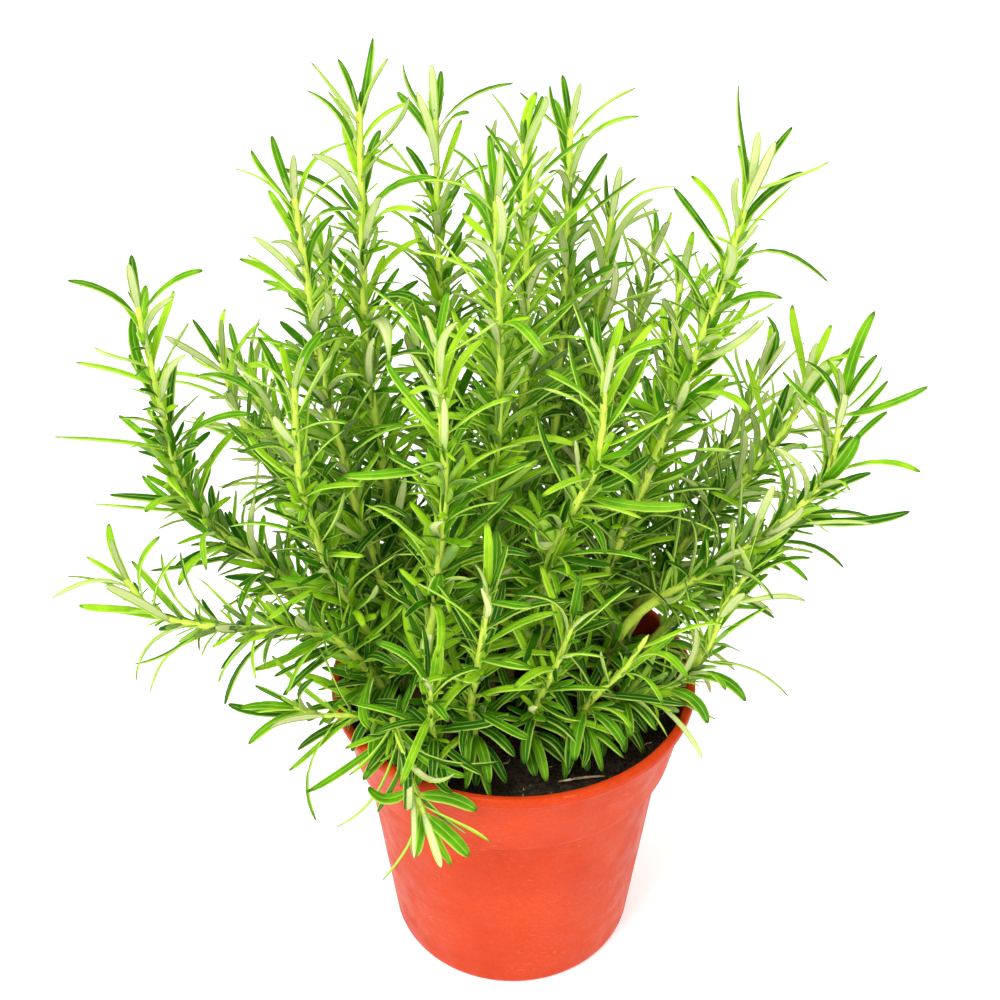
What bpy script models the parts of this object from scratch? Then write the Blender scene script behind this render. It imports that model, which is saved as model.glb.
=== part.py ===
"""Rosemary growing in a 13 cm nursery pot.

The pot stands at z = 0 on the vertical axis through the origin, the front of
the plant faces -Y and +X is to its right.  Lengths named in millimetres are
turned into metres by MM.
"""

import math
import random
from dataclasses import dataclass

import bmesh
import bpy
from mathutils import Matrix, Vector, noise
from mathutils.bvhtree import BVHTree

MM = 0.001
GAP = 0.3 * MM

# pot
RIM_RADIUS = 65.0 * MM
POT_HEIGHT = 114.0 * MM
BEAD_HEIGHT = 4.0 * MM
COLLAR_BOTTOM = 84.0 * MM
COLLAR_TOP_RADIUS = 63.0 * MM
COLLAR_BOTTOM_RADIUS = 58.2 * MM
WALL_TOP_RADIUS = 54.6 * MM
BASE_RADIUS = 46.0 * MM
WALL = 1.3 * MM
FOOT_INNER_RADIUS = 40.0 * MM
PAD_RADIUS = 12.0 * MM
FLOOR_RISE = 2.0 * MM
FLOOR_TOP = 3.6 * MM
POT_SIDES = 56
DRAIN_HOLES = 8
DRAIN_RADIUS = 4.0 * MM
DRAIN_CIRCLE = 30.0 * MM

# potting soil
SOIL_TOP = 101.0 * MM
SOIL_BUMP = 1.4 * MM
SOIL_BUMP_PITCH = 14.0 * MM
SOIL_SIDES = 40

# shoots
PLANTING_DEPTH = 13.0 * MM
STEM_SIDE_AT_SOIL = 3.0 * MM
STEM_SIDE_AT_TIP = 1.5 * MM
COLLAR_ABOVE_SOIL = 8.0 * MM
FIRST_LEAVES_AT = 20.0 * MM
LEAF_SPACING = 12.0 * MM
LEAF_BASE_HEIGHT = 2.0 * MM
LEAF_LENGTH = 31.0 * MM
LEAF_WIDTH = 3.7 * MM
LEAF_THICKNESS = 1.0 * MM
LEAF_CLEARANCE = 0.35 * MM
POT_CLEARANCE = 0.8 * MM

# dry straw on the soil
STRAW_DIAMETER = 0.9 * MM
STRAW_POINTS = ((14, -44), (19, -43), (24, -42.5), (30, -41.5))

# Each shoot is a smooth stem through these points in millimetres.  The first
# has no height: it stands on the soil.
SHOOTS = {
    "centre_shoot_1": ((-20, 8), (-38, 14, 158), (-47, 19, 222), (-46, 25, 308)),
    "centre_shoot_2": ((-10, 24), (-20, 34, 170), (-24, 43, 240), (-24, 50, 298)),
    "centre_shoot_3": ((-1, 10), (1, 15, 170), (4, 20, 238), (3, 25, 298)),
    "centre_shoot_4": ((7, 29), (14, 38, 168), (18, 48, 235), (19, 55, 293)),
    "centre_shoot_5": ((-8, -6), (-9, -8, 165), (-5, -7, 232), (-6, -5, 291)),
    "centre_shoot_6": ((16, 22), (24, 38, 160), (29, 50, 215), (34, 60, 261)),
    "left_shoot_1": ((-24, -2), (-46, 3, 155), (-60, 9, 222), (-66, 15, 285)),
    "left_shoot_2": ((-34, 2), (-79, -2, 158), (-104, -5, 188), (-110, -5, 228), (-112, -6, 260)),
    "left_shoot_3": ((-30, 22), (-66, 36, 152), (-92, 43, 186), (-100, 45, 215)),
    "left_shoot_4": ((-27, 13), (-58, 23, 152), (-76, 28, 184), (-84, 30, 211)),
    "left_shoot_5": ((-30, -10), (-55, -12, 152), (-67, -14, 196), (-67, -15, 237)),
    "left_shoot_6": ((-37, -13), (-60, -21, 146), (-88, -28, 156), (-112, -32, 164), (-122, -33, 180)),
    "left_shoot_7": ((-36, -21), (-47, -28, 118), (-56, -33, 123), (-64, -35, 125), (-72, -36, 129)),
    "right_shoot_1": ((14, 6), (32, 8, 150), (49, 9, 204), (63, 10, 255), (70, 10, 291)),
    "right_shoot_2": ((23, 13), (38, 26, 155), (52, 36, 205), (56, 40, 246)),
    "right_shoot_3": ((26, -3), (40, -6, 140), (62, -5, 158), (88, -1, 176), (102, 0, 195), (104, 0, 222)),
    "right_shoot_4": ((33, 10), (58, 18, 150), (82, 25, 178), (96, 29, 200), (100, 30, 216)),
    "right_shoot_5": ((24, -19), (38, -22, 121), (54, -21, 124), (65, -17, 136), (71, -13, 152), (78, -12, 166)),
    "right_shoot_6": ((36, 1), (60, 7, 136), (82, 11, 154), (98, 13, 172)),
    "right_shoot_7": ((33, 19), (62, 34, 146), (84, 46, 166), (96, 52, 184)),
    "front_shoot_1": ((-24, -22), (-29, -29, 140), (-26, -32, 170), (-22, -31, 210), (-23, -30, 257)),
    "front_shoot_2": ((8, -13), (8, -18, 145), (12, -22, 183), (24, -26, 216), (25, -28, 249)),
    "front_shoot_3": ((-12, -33), (-15, -40, 130), (-12, -45, 158), (-9, -48, 184)),
    "front_shoot_4": ((-35, -30), (-40, -39, 124), (-40, -45, 130), (-37, -53, 126), (-34, -61, 119), (-30, -68, 112)),
    "front_shoot_5": ((3, -29), (7, -35, 128), (13, -39, 150), (17, -41, 166)),
    "front_shoot_6": ((16, -26), (25, -31, 126), (35, -34, 142), (41, -36, 156)),
    "front_shoot_7": ((-24, -36), (-27, -43, 122), (-28, -48, 136), (-27, -51, 150)),
    "back_shoot_1": ((-19, 31), (-40, 46, 158), (-58, 60, 205), (-66, 70, 244)),
    "back_shoot_2": ((-2, 37), (-4, 54, 165), (-6, 70, 220), (-4, 82, 267)),
    "back_shoot_3": ((17, 35), (30, 52, 160), (44, 68, 205), (52, 80, 241)),
    "back_shoot_4": ((-34, 31), (-62, 50, 146), (-86, 64, 174), (-98, 72, 199)),
    "back_shoot_5": ((30, 29), (58, 48, 146), (82, 62, 170), (94, 70, 197)),
    "back_shoot_6": ((-11, 43), (-20, 66, 146), (-30, 86, 170), (-34, 96, 195)),
    "back_shoot_7": ((9, 46), (20, 68, 148), (30, 90, 176), (34, 100, 203)),
}

# How a leaf may be turned or shortened to clear its neighbours, tried in order:
# degrees added to its spread, degrees around the stem, share of its length.
LEAF_TRIES = (
    (0, 0, 1.0),
    (9, 0, 1.0),
    (-9, 0, 1.0),
    (0, 14, 1.0),
    (0, -14, 1.0),
    (12, 18, 1.0),
    (12, -18, 1.0),
    (-12, 18, 0.9),
    (-12, -18, 0.9),
    (20, 0, 0.85),
    (-18, 0, 0.85),
    (0, 28, 0.85),
    (0, -28, 0.85),
    (0, 0, 0.65),
    (18, 24, 0.65),
    (18, -24, 0.65),
    (-14, 0, 0.55),
    (24, 0, 0.5),
    (0, 0, 0.4),
)


def clear_scene():
    """Remove every object that a new file starts with."""
    for obj in list(bpy.data.objects):
        bpy.data.objects.remove(obj, do_unlink=True)


def new_collection(name):
    """Make a collection in the scene and return it."""
    collection = bpy.data.collections.new(name)
    bpy.context.scene.collection.children.link(collection)
    return collection


def make_material(name, colour, roughness):
    """Make a plain Principled material."""
    material = bpy.data.materials.new(name)
    material.use_nodes = True
    shader = material.node_tree.nodes["Principled BSDF"]
    shader.inputs["Base Color"].default_value = (*colour, 1.0)
    shader.inputs["Roughness"].default_value = roughness
    shader.inputs["Metallic"].default_value = 0.0
    return material


def add_object(name, mesh, material, collection):
    """Put a mesh in the collection as a named object with one material."""
    obj = bpy.data.objects.new(name, mesh)
    collection.objects.link(obj)
    if material is not None:
        mesh.materials.clear()
        mesh.materials.append(material)
    return obj


def turned_mesh(name, profile, sides):
    """Turn an outline of (radius, height) points around the Z axis.

    The outline runs from the axis over the inside, up to the rim and down the
    outer side, so the faces point out.
    """
    mesh = bpy.data.meshes.new(name)
    points = [(radius, 0.0, height) for radius, height in profile]
    mesh.from_pydata(points, [(i, i + 1) for i in range(len(points) - 1)], [])
    obj = bpy.data.objects.new(name + "_outline", mesh)
    bpy.context.scene.collection.objects.link(obj)
    screw = obj.modifiers.new("turn", "SCREW")
    screw.axis = "Z"
    screw.steps = sides
    screw.render_steps = sides
    screw.use_merge_vertices = True
    screw.merge_threshold = 0.00001
    evaluated = obj.evaluated_get(bpy.context.evaluated_depsgraph_get())
    turned = bpy.data.meshes.new_from_object(evaluated)
    turned.name = name
    bpy.data.objects.remove(obj, do_unlink=True)
    return turned


def cut(obj, cutter):
    """Cut one object out of another with an exact Boolean."""
    cutter.hide_render = True
    cutter.display_type = "WIRE"
    boolean = obj.modifiers.new("cut_" + cutter.name, "BOOLEAN")
    boolean.operation = "DIFFERENCE"
    boolean.solver = "EXACT"
    boolean.object = cutter


def pot_inner_outline():
    """Inside of the pot from the centre of its floor up to the rim."""
    return [
        (0.0, FLOOR_TOP),
        (BASE_RADIUS - WALL - 1.5 * MM, FLOOR_TOP),
        (BASE_RADIUS - WALL, FLOOR_TOP + 1.5 * MM),
        (WALL_TOP_RADIUS - WALL, COLLAR_BOTTOM - 1.0 * MM),
        (COLLAR_BOTTOM_RADIUS - WALL, COLLAR_BOTTOM + 2.0 * MM),
        (COLLAR_TOP_RADIUS - WALL, POT_HEIGHT - BEAD_HEIGHT),
        (COLLAR_TOP_RADIUS - 0.9 * MM, POT_HEIGHT),
    ]


def pot_outer_outline():
    """Rim, collar, wall, foot ring and centre pad, from the top down."""
    bead_bottom = POT_HEIGHT - BEAD_HEIGHT
    return [
        (RIM_RADIUS - 0.9 * MM, POT_HEIGHT),
        (RIM_RADIUS, POT_HEIGHT - 0.9 * MM),
        (RIM_RADIUS, bead_bottom + 0.8 * MM),
        (RIM_RADIUS - 0.8 * MM, bead_bottom),
        (COLLAR_TOP_RADIUS, bead_bottom - 0.4 * MM),
        (COLLAR_BOTTOM_RADIUS, COLLAR_BOTTOM + 1.4 * MM),
        (COLLAR_BOTTOM_RADIUS - 1.0 * MM, COLLAR_BOTTOM),
        (WALL_TOP_RADIUS, COLLAR_BOTTOM - 2.4 * MM),
        (BASE_RADIUS, 2.5 * MM),
        (BASE_RADIUS - 0.7 * MM, 0.8 * MM),
        (BASE_RADIUS - 1.8 * MM, 0.0),
        (FOOT_INNER_RADIUS, 0.0),
        (FOOT_INNER_RADIUS - 0.5 * MM, FLOOR_RISE),
        (PAD_RADIUS + 0.5 * MM, FLOOR_RISE),
        (PAD_RADIUS, 0.0),
        (0.0, 0.0),
    ]


def build_pot(collection, cutters):
    """Thin plastic pot with a rolled rim, a tapered collar and drain holes."""
    material = make_material("pot_plastic", (0.62, 0.115, 0.045), 0.45)
    mesh = turned_mesh("pot", pot_inner_outline() + pot_outer_outline(), POT_SIDES)
    pot = add_object("pot", mesh, material, collection)
    holes = bmesh.new()
    for index in range(DRAIN_HOLES):
        angle = math.tau * (index + 0.5) / DRAIN_HOLES
        place = Matrix.Translation(
            (DRAIN_CIRCLE * math.cos(angle), DRAIN_CIRCLE * math.sin(angle), 2.8 * MM)
        )
        bmesh.ops.create_cone(
            holes,
            cap_ends=True,
            segments=12,
            radius1=DRAIN_RADIUS,
            radius2=DRAIN_RADIUS,
            depth=6.0 * MM,
            matrix=place,
        )
    hole_mesh = bpy.data.meshes.new("drain_hole_cutters")
    holes.to_mesh(hole_mesh)
    holes.free()
    cut(pot, add_object("drain_hole_cutters", hole_mesh, None, cutters))
    pot.data.shade_smooth()
    pot.data.set_sharp_from_angle(angle=math.radians(40))
    return pot


def soil_height(x, y):
    """Height of the uneven soil surface, level near the wall of the pot."""
    edge = (COLLAR_TOP_RADIUS - math.hypot(x, y)) / (10.0 * MM)
    fade = min(1.0, max(0.0, edge))
    bump = noise.noise(Vector((x, y, 0.0)) / SOIL_BUMP_PITCH)
    return SOIL_TOP + SOIL_BUMP * bump * fade


def build_soil(shoots, collection, cutters):
    """Block of potting soil with a planting hole for every stem."""
    material = make_material("potting_soil", (0.022, 0.015, 0.010), 0.95)
    slope = (COLLAR_TOP_RADIUS - COLLAR_BOTTOM_RADIUS) / (POT_HEIGHT - BEAD_HEIGHT - COLLAR_BOTTOM)
    collar_radius = COLLAR_BOTTOM_RADIUS - WALL - GAP
    top_radius = collar_radius + slope * (SOIL_TOP - COLLAR_BOTTOM - 2.0 * MM)
    top = [(top_radius * share, SOIL_TOP) for share in (0.0, 0.16, 0.33, 0.5, 0.67, 0.83, 1.0)]
    side = [
        (collar_radius, COLLAR_BOTTOM + 2.0 * MM),
        (WALL_TOP_RADIUS - WALL - GAP, COLLAR_BOTTOM - 1.0 * MM),
        (BASE_RADIUS - WALL - GAP, FLOOR_TOP + 1.5 * MM + GAP),
        (BASE_RADIUS - WALL - 1.5 * MM - GAP, FLOOR_TOP + GAP),
        (0.0, FLOOR_TOP + GAP),
    ]
    mesh = turned_mesh("potting_soil", top + side, SOIL_SIDES)
    for vertex in mesh.vertices:
        if vertex.co.z > SOIL_TOP - 0.1 * MM:
            vertex.co.z = soil_height(vertex.co.x, vertex.co.y)
    soil = add_object("potting_soil", mesh, material, collection)
    holes = bmesh.new()
    for shoot in shoots:
        shoot.add_planting_hole(holes)
    bmesh.ops.recalc_face_normals(holes, faces=holes.faces[:])
    hole_mesh = bpy.data.meshes.new("planting_hole_cutters")
    holes.to_mesh(hole_mesh)
    holes.free()
    cut(soil, add_object("planting_hole_cutters", hole_mesh, None, cutters))
    return soil


def build_straw(collection):
    """Short dry straw that lies on the soil in front."""
    material = make_material("dry_straw", (0.52, 0.37, 0.20), 0.8)
    curve = bpy.data.curves.new("straw", "CURVE")
    curve.dimensions = "3D"
    curve.bevel_depth = STRAW_DIAMETER / 2
    curve.bevel_resolution = 1
    curve.use_fill_caps = True
    spline = curve.splines.new("POLY")
    spline.points.add(len(STRAW_POINTS) - 1)
    for point, (x, y) in zip(spline.points, STRAW_POINTS):
        height = soil_height(x * MM, y * MM) + STRAW_DIAMETER / 2 + 2.5 * GAP
        point.co = (x * MM, y * MM, height, 1.0)
    obj = bpy.data.objects.new("straw_curve", curve)
    bpy.context.scene.collection.objects.link(obj)
    evaluated = obj.evaluated_get(bpy.context.evaluated_depsgraph_get())
    mesh = bpy.data.meshes.new_from_object(evaluated)
    bpy.data.objects.remove(obj, do_unlink=True)
    welded = bmesh.new()
    welded.from_mesh(mesh)
    bmesh.ops.remove_doubles(welded, verts=welded.verts[:], dist=0.00001)
    bmesh.ops.recalc_face_normals(welded, faces=welded.faces[:])
    welded.to_mesh(mesh)
    welded.free()
    return add_object("straw", mesh, material, collection)


@dataclass
class Leaf:
    """One narrow leaf: where it leaves the stem and how it runs."""

    base: Vector
    along: Vector
    upper: Vector
    outer: Vector
    length: float
    width: float

    @property
    def across(self):
        """Direction of the leaf's width."""
        return self.along.cross(self.upper).normalized()

    @property
    def middle(self):
        """Point where the leaf is widest and bends."""
        return self.base + self.along * self.length * 0.5

    @property
    def tip(self):
        """Point at the end of the leaf."""
        return self.middle + self.outer * self.length * 0.5

    def clearance_tree(self, margin):
        """Closed box around the leaf, wider than the leaf by the margin."""
        side = self.across * (self.width / 2 + margin)
        over = self.upper * margin
        under = self.upper * (LEAF_THICKNESS + margin)
        end = self.tip + self.outer * margin
        points = []
        for centre, share in ((self.base, 0.8), (self.middle, 1.0), (end, 0.4)):
            points += [
                centre + side * share + over,
                centre - side * share + over,
                centre - side * share - under,
                centre + side * share - under,
            ]
        faces = [(0, 1, 2, 3), (8, 9, 10, 11)]
        for first in (0, 4):
            for corner in range(4):
                after = (corner + 1) % 4
                faces.append((first + corner, first + after, first + 4 + after, first + 4 + corner))
        return BVHTree.FromPolygons(points, faces)


class Shoot:
    """One rooted stem with its pairs of leaves."""

    def __init__(self, name, points):
        self.name = name
        root = Vector((points[0][0], points[0][1], SOIL_TOP / MM))
        foot = root - Vector((0.0, 0.0, PLANTING_DEPTH / MM))
        path = [foot, root] + [Vector(point) for point in points[1:]]
        self.path = [point * MM for point in path]
        self.random = random.Random(name)
        self.stations = self.smooth_path()
        self.length = self.stations[-1][0]
        self.leaves = {}

    def smooth_path(self):
        """Smooth curve through the path as (distance above soil, point, tangent)."""
        points = self.path
        ends = [points[0] * 2 - points[1]] + points + [points[-1] * 2 - points[-2]]
        samples = []
        for index in range(1, len(ends) - 2):
            before, start, end, after = ends[index - 1 : index + 3]
            for step in range(12):
                t = step / 12
                samples.append(
                    0.5
                    * (
                        start * 2
                        + (end - before) * t
                        + (before * 2 - start * 5 + end * 4 - after) * t * t
                        + (start * 3 - before - end * 3 + after) * t * t * t
                    )
                )
        samples.append(points[-1].copy())
        stations = []
        travelled = -(points[1] - points[0]).length
        for index, point in enumerate(samples):
            if index:
                travelled += (point - samples[index - 1]).length
            ahead = samples[min(index + 1, len(samples) - 1)]
            behind = samples[max(index - 1, 0)]
            stations.append((travelled, point, (ahead - behind).normalized()))
        return stations

    def frame_at(self, distance):
        """Point, direction and two side directions of the stem at a distance."""
        side = Vector((1.0, 0.0, 0.0))
        side.rotate(Matrix.Rotation(self.turn, 3, "Z"))
        previous = self.stations[0]
        for station in self.stations:
            side = (side - station[2] * side.dot(station[2])).normalized()
            if station[0] >= distance or station is self.stations[-1]:
                break
            previous = station
        span = max(station[0] - previous[0], 1e-9)
        share = min(1.0, max(0.0, (distance - previous[0]) / span))
        point = previous[1].lerp(station[1], share)
        tangent = previous[2].lerp(station[2], share).normalized()
        side = (side - tangent * side.dot(tangent)).normalized()
        return point, tangent, side, tangent.cross(side)

    @property
    def turn(self):
        """Angle of the square stem around its own axis."""
        return random.Random(self.name + " turn").uniform(0.0, math.pi / 2)

    def side_at(self, distance):
        """Width of the square stem."""
        share = min(1.0, max(0.0, distance / self.length))
        return STEM_SIDE_AT_SOIL + (STEM_SIDE_AT_TIP - STEM_SIDE_AT_SOIL) * share

    def ring_at(self, distance, extra=0.0):
        """Four corners of the square stem at a distance."""
        point, _, side, other = self.frame_at(distance)
        half = self.side_at(distance) / 2 + extra
        return [
            point + side * half * a + other * half * b
            for a, b in ((1, -1), (1, 1), (-1, 1), (-1, -1))
        ]

    def node_distances(self):
        """Where along the stem its leaf pairs sit."""
        first = min(FIRST_LEAVES_AT, self.length * 0.3)
        last = self.length - 3.0 * MM
        count = max(2, round((last - first) / LEAF_SPACING) + 1)
        return [first + (last - first) * index / (count - 1) for index in range(count)]

    def leaf_at(self, distance, face, attempt):
        """Leaf that grows from one side of the stem at a distance."""
        point, tangent, side, other = self.frame_at(distance)
        outward = (side, other, -side, -other)[face]
        share = distance / self.length
        spread_extra, around, shorten = attempt
        spread = math.radians(82.0 - 50.0 * share**1.3 + spread_extra + self.wobble[0])
        outward = outward.copy()
        outward.rotate(Matrix.Rotation(math.radians(around + self.wobble[1]), 3, tangent))
        along = (tangent * math.cos(spread) + outward * math.sin(spread)).normalized()
        upper = (tangent * math.sin(spread) - outward * math.cos(spread)).normalized()
        droop = 0.34 * (1.0 - share) ** 1.5 - 0.12 * share
        outer = (along - upper * 0.18 * share + Vector((0.0, 0.0, -droop))).normalized()
        size = 0.78 + 0.5 * share - 0.52 * share * share
        length = LEAF_LENGTH * size * shorten * (1.0 + self.wobble[2])
        width = LEAF_WIDTH * (0.85 + 0.15 * shorten)
        base = point + outward * self.side_at(distance) / 2
        return Leaf(base, along, upper, outer, length, width)

    def grow(self, neighbours, walls):
        """Choose every leaf so that it clears the other leaves and the pot."""
        for index, distance in enumerate(self.node_distances()):
            for face in (index % 2, index % 2 + 2):
                self.wobble = (
                    self.random.uniform(-8.0, 8.0),
                    self.random.uniform(-10.0, 10.0),
                    self.random.uniform(-0.12, 0.12),
                )
                leaf = self.clear_leaf(distance, face, neighbours, walls)
                if leaf is not None:
                    self.leaves[(index, face)] = leaf
                    neighbours.add(leaf.middle, leaf.clearance_tree(0.0), self.name)

    def clear_leaf(self, distance, face, neighbours, walls):
        """First leaf of the allowed turns and lengths that touches nothing."""
        for attempt in LEAF_TRIES:
            leaf = self.leaf_at(distance, face, attempt)
            if leaf.clearance_tree(POT_CLEARANCE).overlap(walls):
                continue
            if not neighbours.touch(leaf.middle, leaf.clearance_tree(LEAF_CLEARANCE), self.name):
                return leaf
        return None

    def ring_distances(self):
        """Where the loft of the stem has a ring, from its foot to its last leaves."""
        distances = [self.stations[0][0], 0.0, self.above_soil()]
        for distance in self.node_distances():
            distances += [distance - LEAF_BASE_HEIGHT / 2, distance + LEAF_BASE_HEIGHT / 2]
        return distances

    def above_soil(self):
        """Height of the ring between the soil and the first leaves."""
        return min(COLLAR_ABOVE_SOIL, self.node_distances()[0] / 2)

    def stem_trees(self):
        """Closed lengths of the stem for the neighbours to clear."""
        rings = [self.ring_at(distance) for distance in self.ring_distances()]
        rings.append(self.ring_at(self.length + 1.0 * MM))
        for lower, upper in zip(rings, rings[1:]):
            faces = [(0, 1, 2, 3), (4, 5, 6, 7)]
            faces += [(i, (i + 1) % 4, 4 + (i + 1) % 4, 4 + i) for i in range(4)]
            yield sum(lower, Vector()) / 4, BVHTree.FromPolygons(lower + upper, faces)

    def add_planting_hole(self, mesh):
        """Add the cutter that leaves a gap all round the buried stem."""
        rings = [self.ring_at(distance, GAP) for distance in self.ring_distances()[:3]]
        rings[0] = [point - Vector((0.0, 0.0, GAP)) for point in rings[0]]
        loops = [[mesh.verts.new(point) for point in ring] for ring in rings]
        mesh.faces.new(loops[0])
        mesh.faces.new(loops[-1])
        for lower, upper in zip(loops, loops[1:]):
            bridge(mesh, lower, upper, ())

    def build(self, material, collection):
        """Loft the stem and draw each leaf out of its side."""
        mesh = bmesh.new()
        loops = []
        for distance in self.ring_distances():
            loops.append([mesh.verts.new(point) for point in self.ring_at(distance)])
        mesh.faces.new(loops[0])
        for number, (lower, upper) in enumerate(zip(loops, loops[1:])):
            index = (number - 3) // 2
            grown = []
            if number >= 3 and number % 2 == 1:
                grown = [face for face in range(4) if (index, face) in self.leaves]
            bridge(mesh, lower, upper, grown)
            for face in grown:
                self.draw_leaf(mesh, lower, upper, face, self.leaves[(index, face)])
        point, tangent, _, _ = self.frame_at(self.length)
        peak = mesh.verts.new(point + tangent * 2.0 * MM)
        for corner in range(4):
            mesh.faces.new((loops[-1][corner], loops[-1][(corner + 1) % 4], peak))
        bmesh.ops.recalc_face_normals(mesh, faces=mesh.faces[:])
        bmesh.ops.triangulate(mesh, faces=mesh.faces[:])
        data = bpy.data.meshes.new(self.name)
        mesh.to_mesh(data)
        mesh.free()
        return add_object(self.name, data, material, collection)

    @staticmethod
    def draw_leaf(mesh, lower, upper, face, leaf):
        """Flat upper side and keeled underside, pointed at the tip."""
        after = (face + 1) % 4
        centre = leaf.middle
        sides = [centre + leaf.across * leaf.width / 2 * s for s in (1, -1)]
        near = upper[face].co
        sides.sort(key=lambda point: (point - near).length)
        left, right = (mesh.verts.new(point) for point in sides)
        keel = mesh.verts.new(centre - leaf.upper * LEAF_THICKNESS)
        tip = mesh.verts.new(leaf.tip)
        mesh.faces.new((upper[face], upper[after], right, left))
        mesh.faces.new((lower[face], upper[face], left, keel))
        mesh.faces.new((upper[after], lower[after], keel, right))
        mesh.faces.new((lower[after], lower[face], keel))
        mesh.faces.new((left, right, tip))
        mesh.faces.new((right, keel, tip))
        mesh.faces.new((keel, left, tip))


def bridge(mesh, lower, upper, open_sides):
    """Join two square loops, leaving the named sides open."""
    for corner in range(4):
        if corner not in open_sides:
            after = (corner + 1) % 4
            mesh.faces.new((lower[corner], lower[after], upper[after], upper[corner]))


class Neighbours:
    """Everything already grown, kept as small closed shapes."""

    REACH = 45.0 * MM

    def __init__(self):
        self.items = []

    def add(self, centre, tree, owner):
        """Remember one grown shape."""
        self.items.append((centre, tree, owner))

    def touch(self, centre, tree, owner):
        """Tell whether a shape meets anything grown, but for its own stem."""
        for other_centre, other_tree, other_owner in self.items:
            if other_owner == owner + " stem":
                continue
            if (centre - other_centre).length > self.REACH:
                continue
            if tree.overlap(other_tree):
                return True
        return False


def wall_tree(*objects):
    """One search tree over the surfaces of the pot and the soil."""
    points = []
    faces = []
    for obj in objects:
        evaluated = obj.evaluated_get(bpy.context.evaluated_depsgraph_get())
        mesh = evaluated.to_mesh()
        first = len(points)
        points += [vertex.co.copy() for vertex in mesh.vertices]
        faces += [[first + index for index in face.vertices] for face in mesh.polygons]
        evaluated.to_mesh_clear()
    return BVHTree.FromPolygons(points, faces)


def build_rosemary():
    """Pot, soil, straw and every shoot."""
    clear_scene()
    collection = new_collection("potted_rosemary")
    cutters = new_collection("cutters")
    shoots = [Shoot(name, points) for name, points in SHOOTS.items()]
    pot = build_pot(collection, cutters)
    soil = build_soil(shoots, collection, cutters)
    straw = build_straw(collection)
    walls = wall_tree(pot, soil, straw)
    neighbours = Neighbours()
    for shoot in shoots:
        for centre, tree in shoot.stem_trees():
            neighbours.add(centre, tree, shoot.name + " stem")
    foliage = make_material("rosemary_green", (0.16, 0.34, 0.045), 0.5)
    for shoot in shoots:
        shoot.grow(neighbours, walls)
        shoot.build(foliage, collection)
    leaves = sum(len(shoot.leaves) for shoot in shoots)
    print(f"{len(shoots)} shoots, {leaves} leaves")


build_rosemary()
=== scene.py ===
"""Rosemary in a 13 cm nursery pot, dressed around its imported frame.

Every length is in metres and every point is in the frame's own axes: the pot
stands at z = 0 on the Z axis, the front of the plant faces -Y and +X is to its
right.
"""

import logging
import math
import random
from dataclasses import dataclass, field
from enum import Enum
from typing import Iterator, Optional, Sequence

import bmesh
import bpy
import numpy as np
from mathutils import Matrix, Vector, noise
from mathutils.bvhtree import BVHTree


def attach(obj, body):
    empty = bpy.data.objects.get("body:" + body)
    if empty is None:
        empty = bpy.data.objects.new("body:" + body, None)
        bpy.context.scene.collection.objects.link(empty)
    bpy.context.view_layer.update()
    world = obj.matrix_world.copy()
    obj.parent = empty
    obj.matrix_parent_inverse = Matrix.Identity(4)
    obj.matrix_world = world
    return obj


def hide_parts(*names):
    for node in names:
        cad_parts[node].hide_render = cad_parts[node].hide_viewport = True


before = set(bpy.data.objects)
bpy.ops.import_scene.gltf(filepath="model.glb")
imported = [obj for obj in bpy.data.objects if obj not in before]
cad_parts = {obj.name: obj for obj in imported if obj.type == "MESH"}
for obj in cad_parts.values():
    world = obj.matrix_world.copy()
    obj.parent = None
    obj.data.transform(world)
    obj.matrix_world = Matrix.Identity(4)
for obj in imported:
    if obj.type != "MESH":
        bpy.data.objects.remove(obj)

logging.basicConfig(level=logging.INFO, format="%(message)s")
log = logging.getLogger("rosemary")

MM = 0.001
BODY = "root"

Triple = tuple[float, float, float]
Colour = Triple
Profile = list[tuple[float, float]]
Socket = bpy.types.NodeSocket

EVEN: Triple = (1.0, 1.0, 1.0)
UP = Vector((0.0, 0.0, 1.0))

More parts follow.
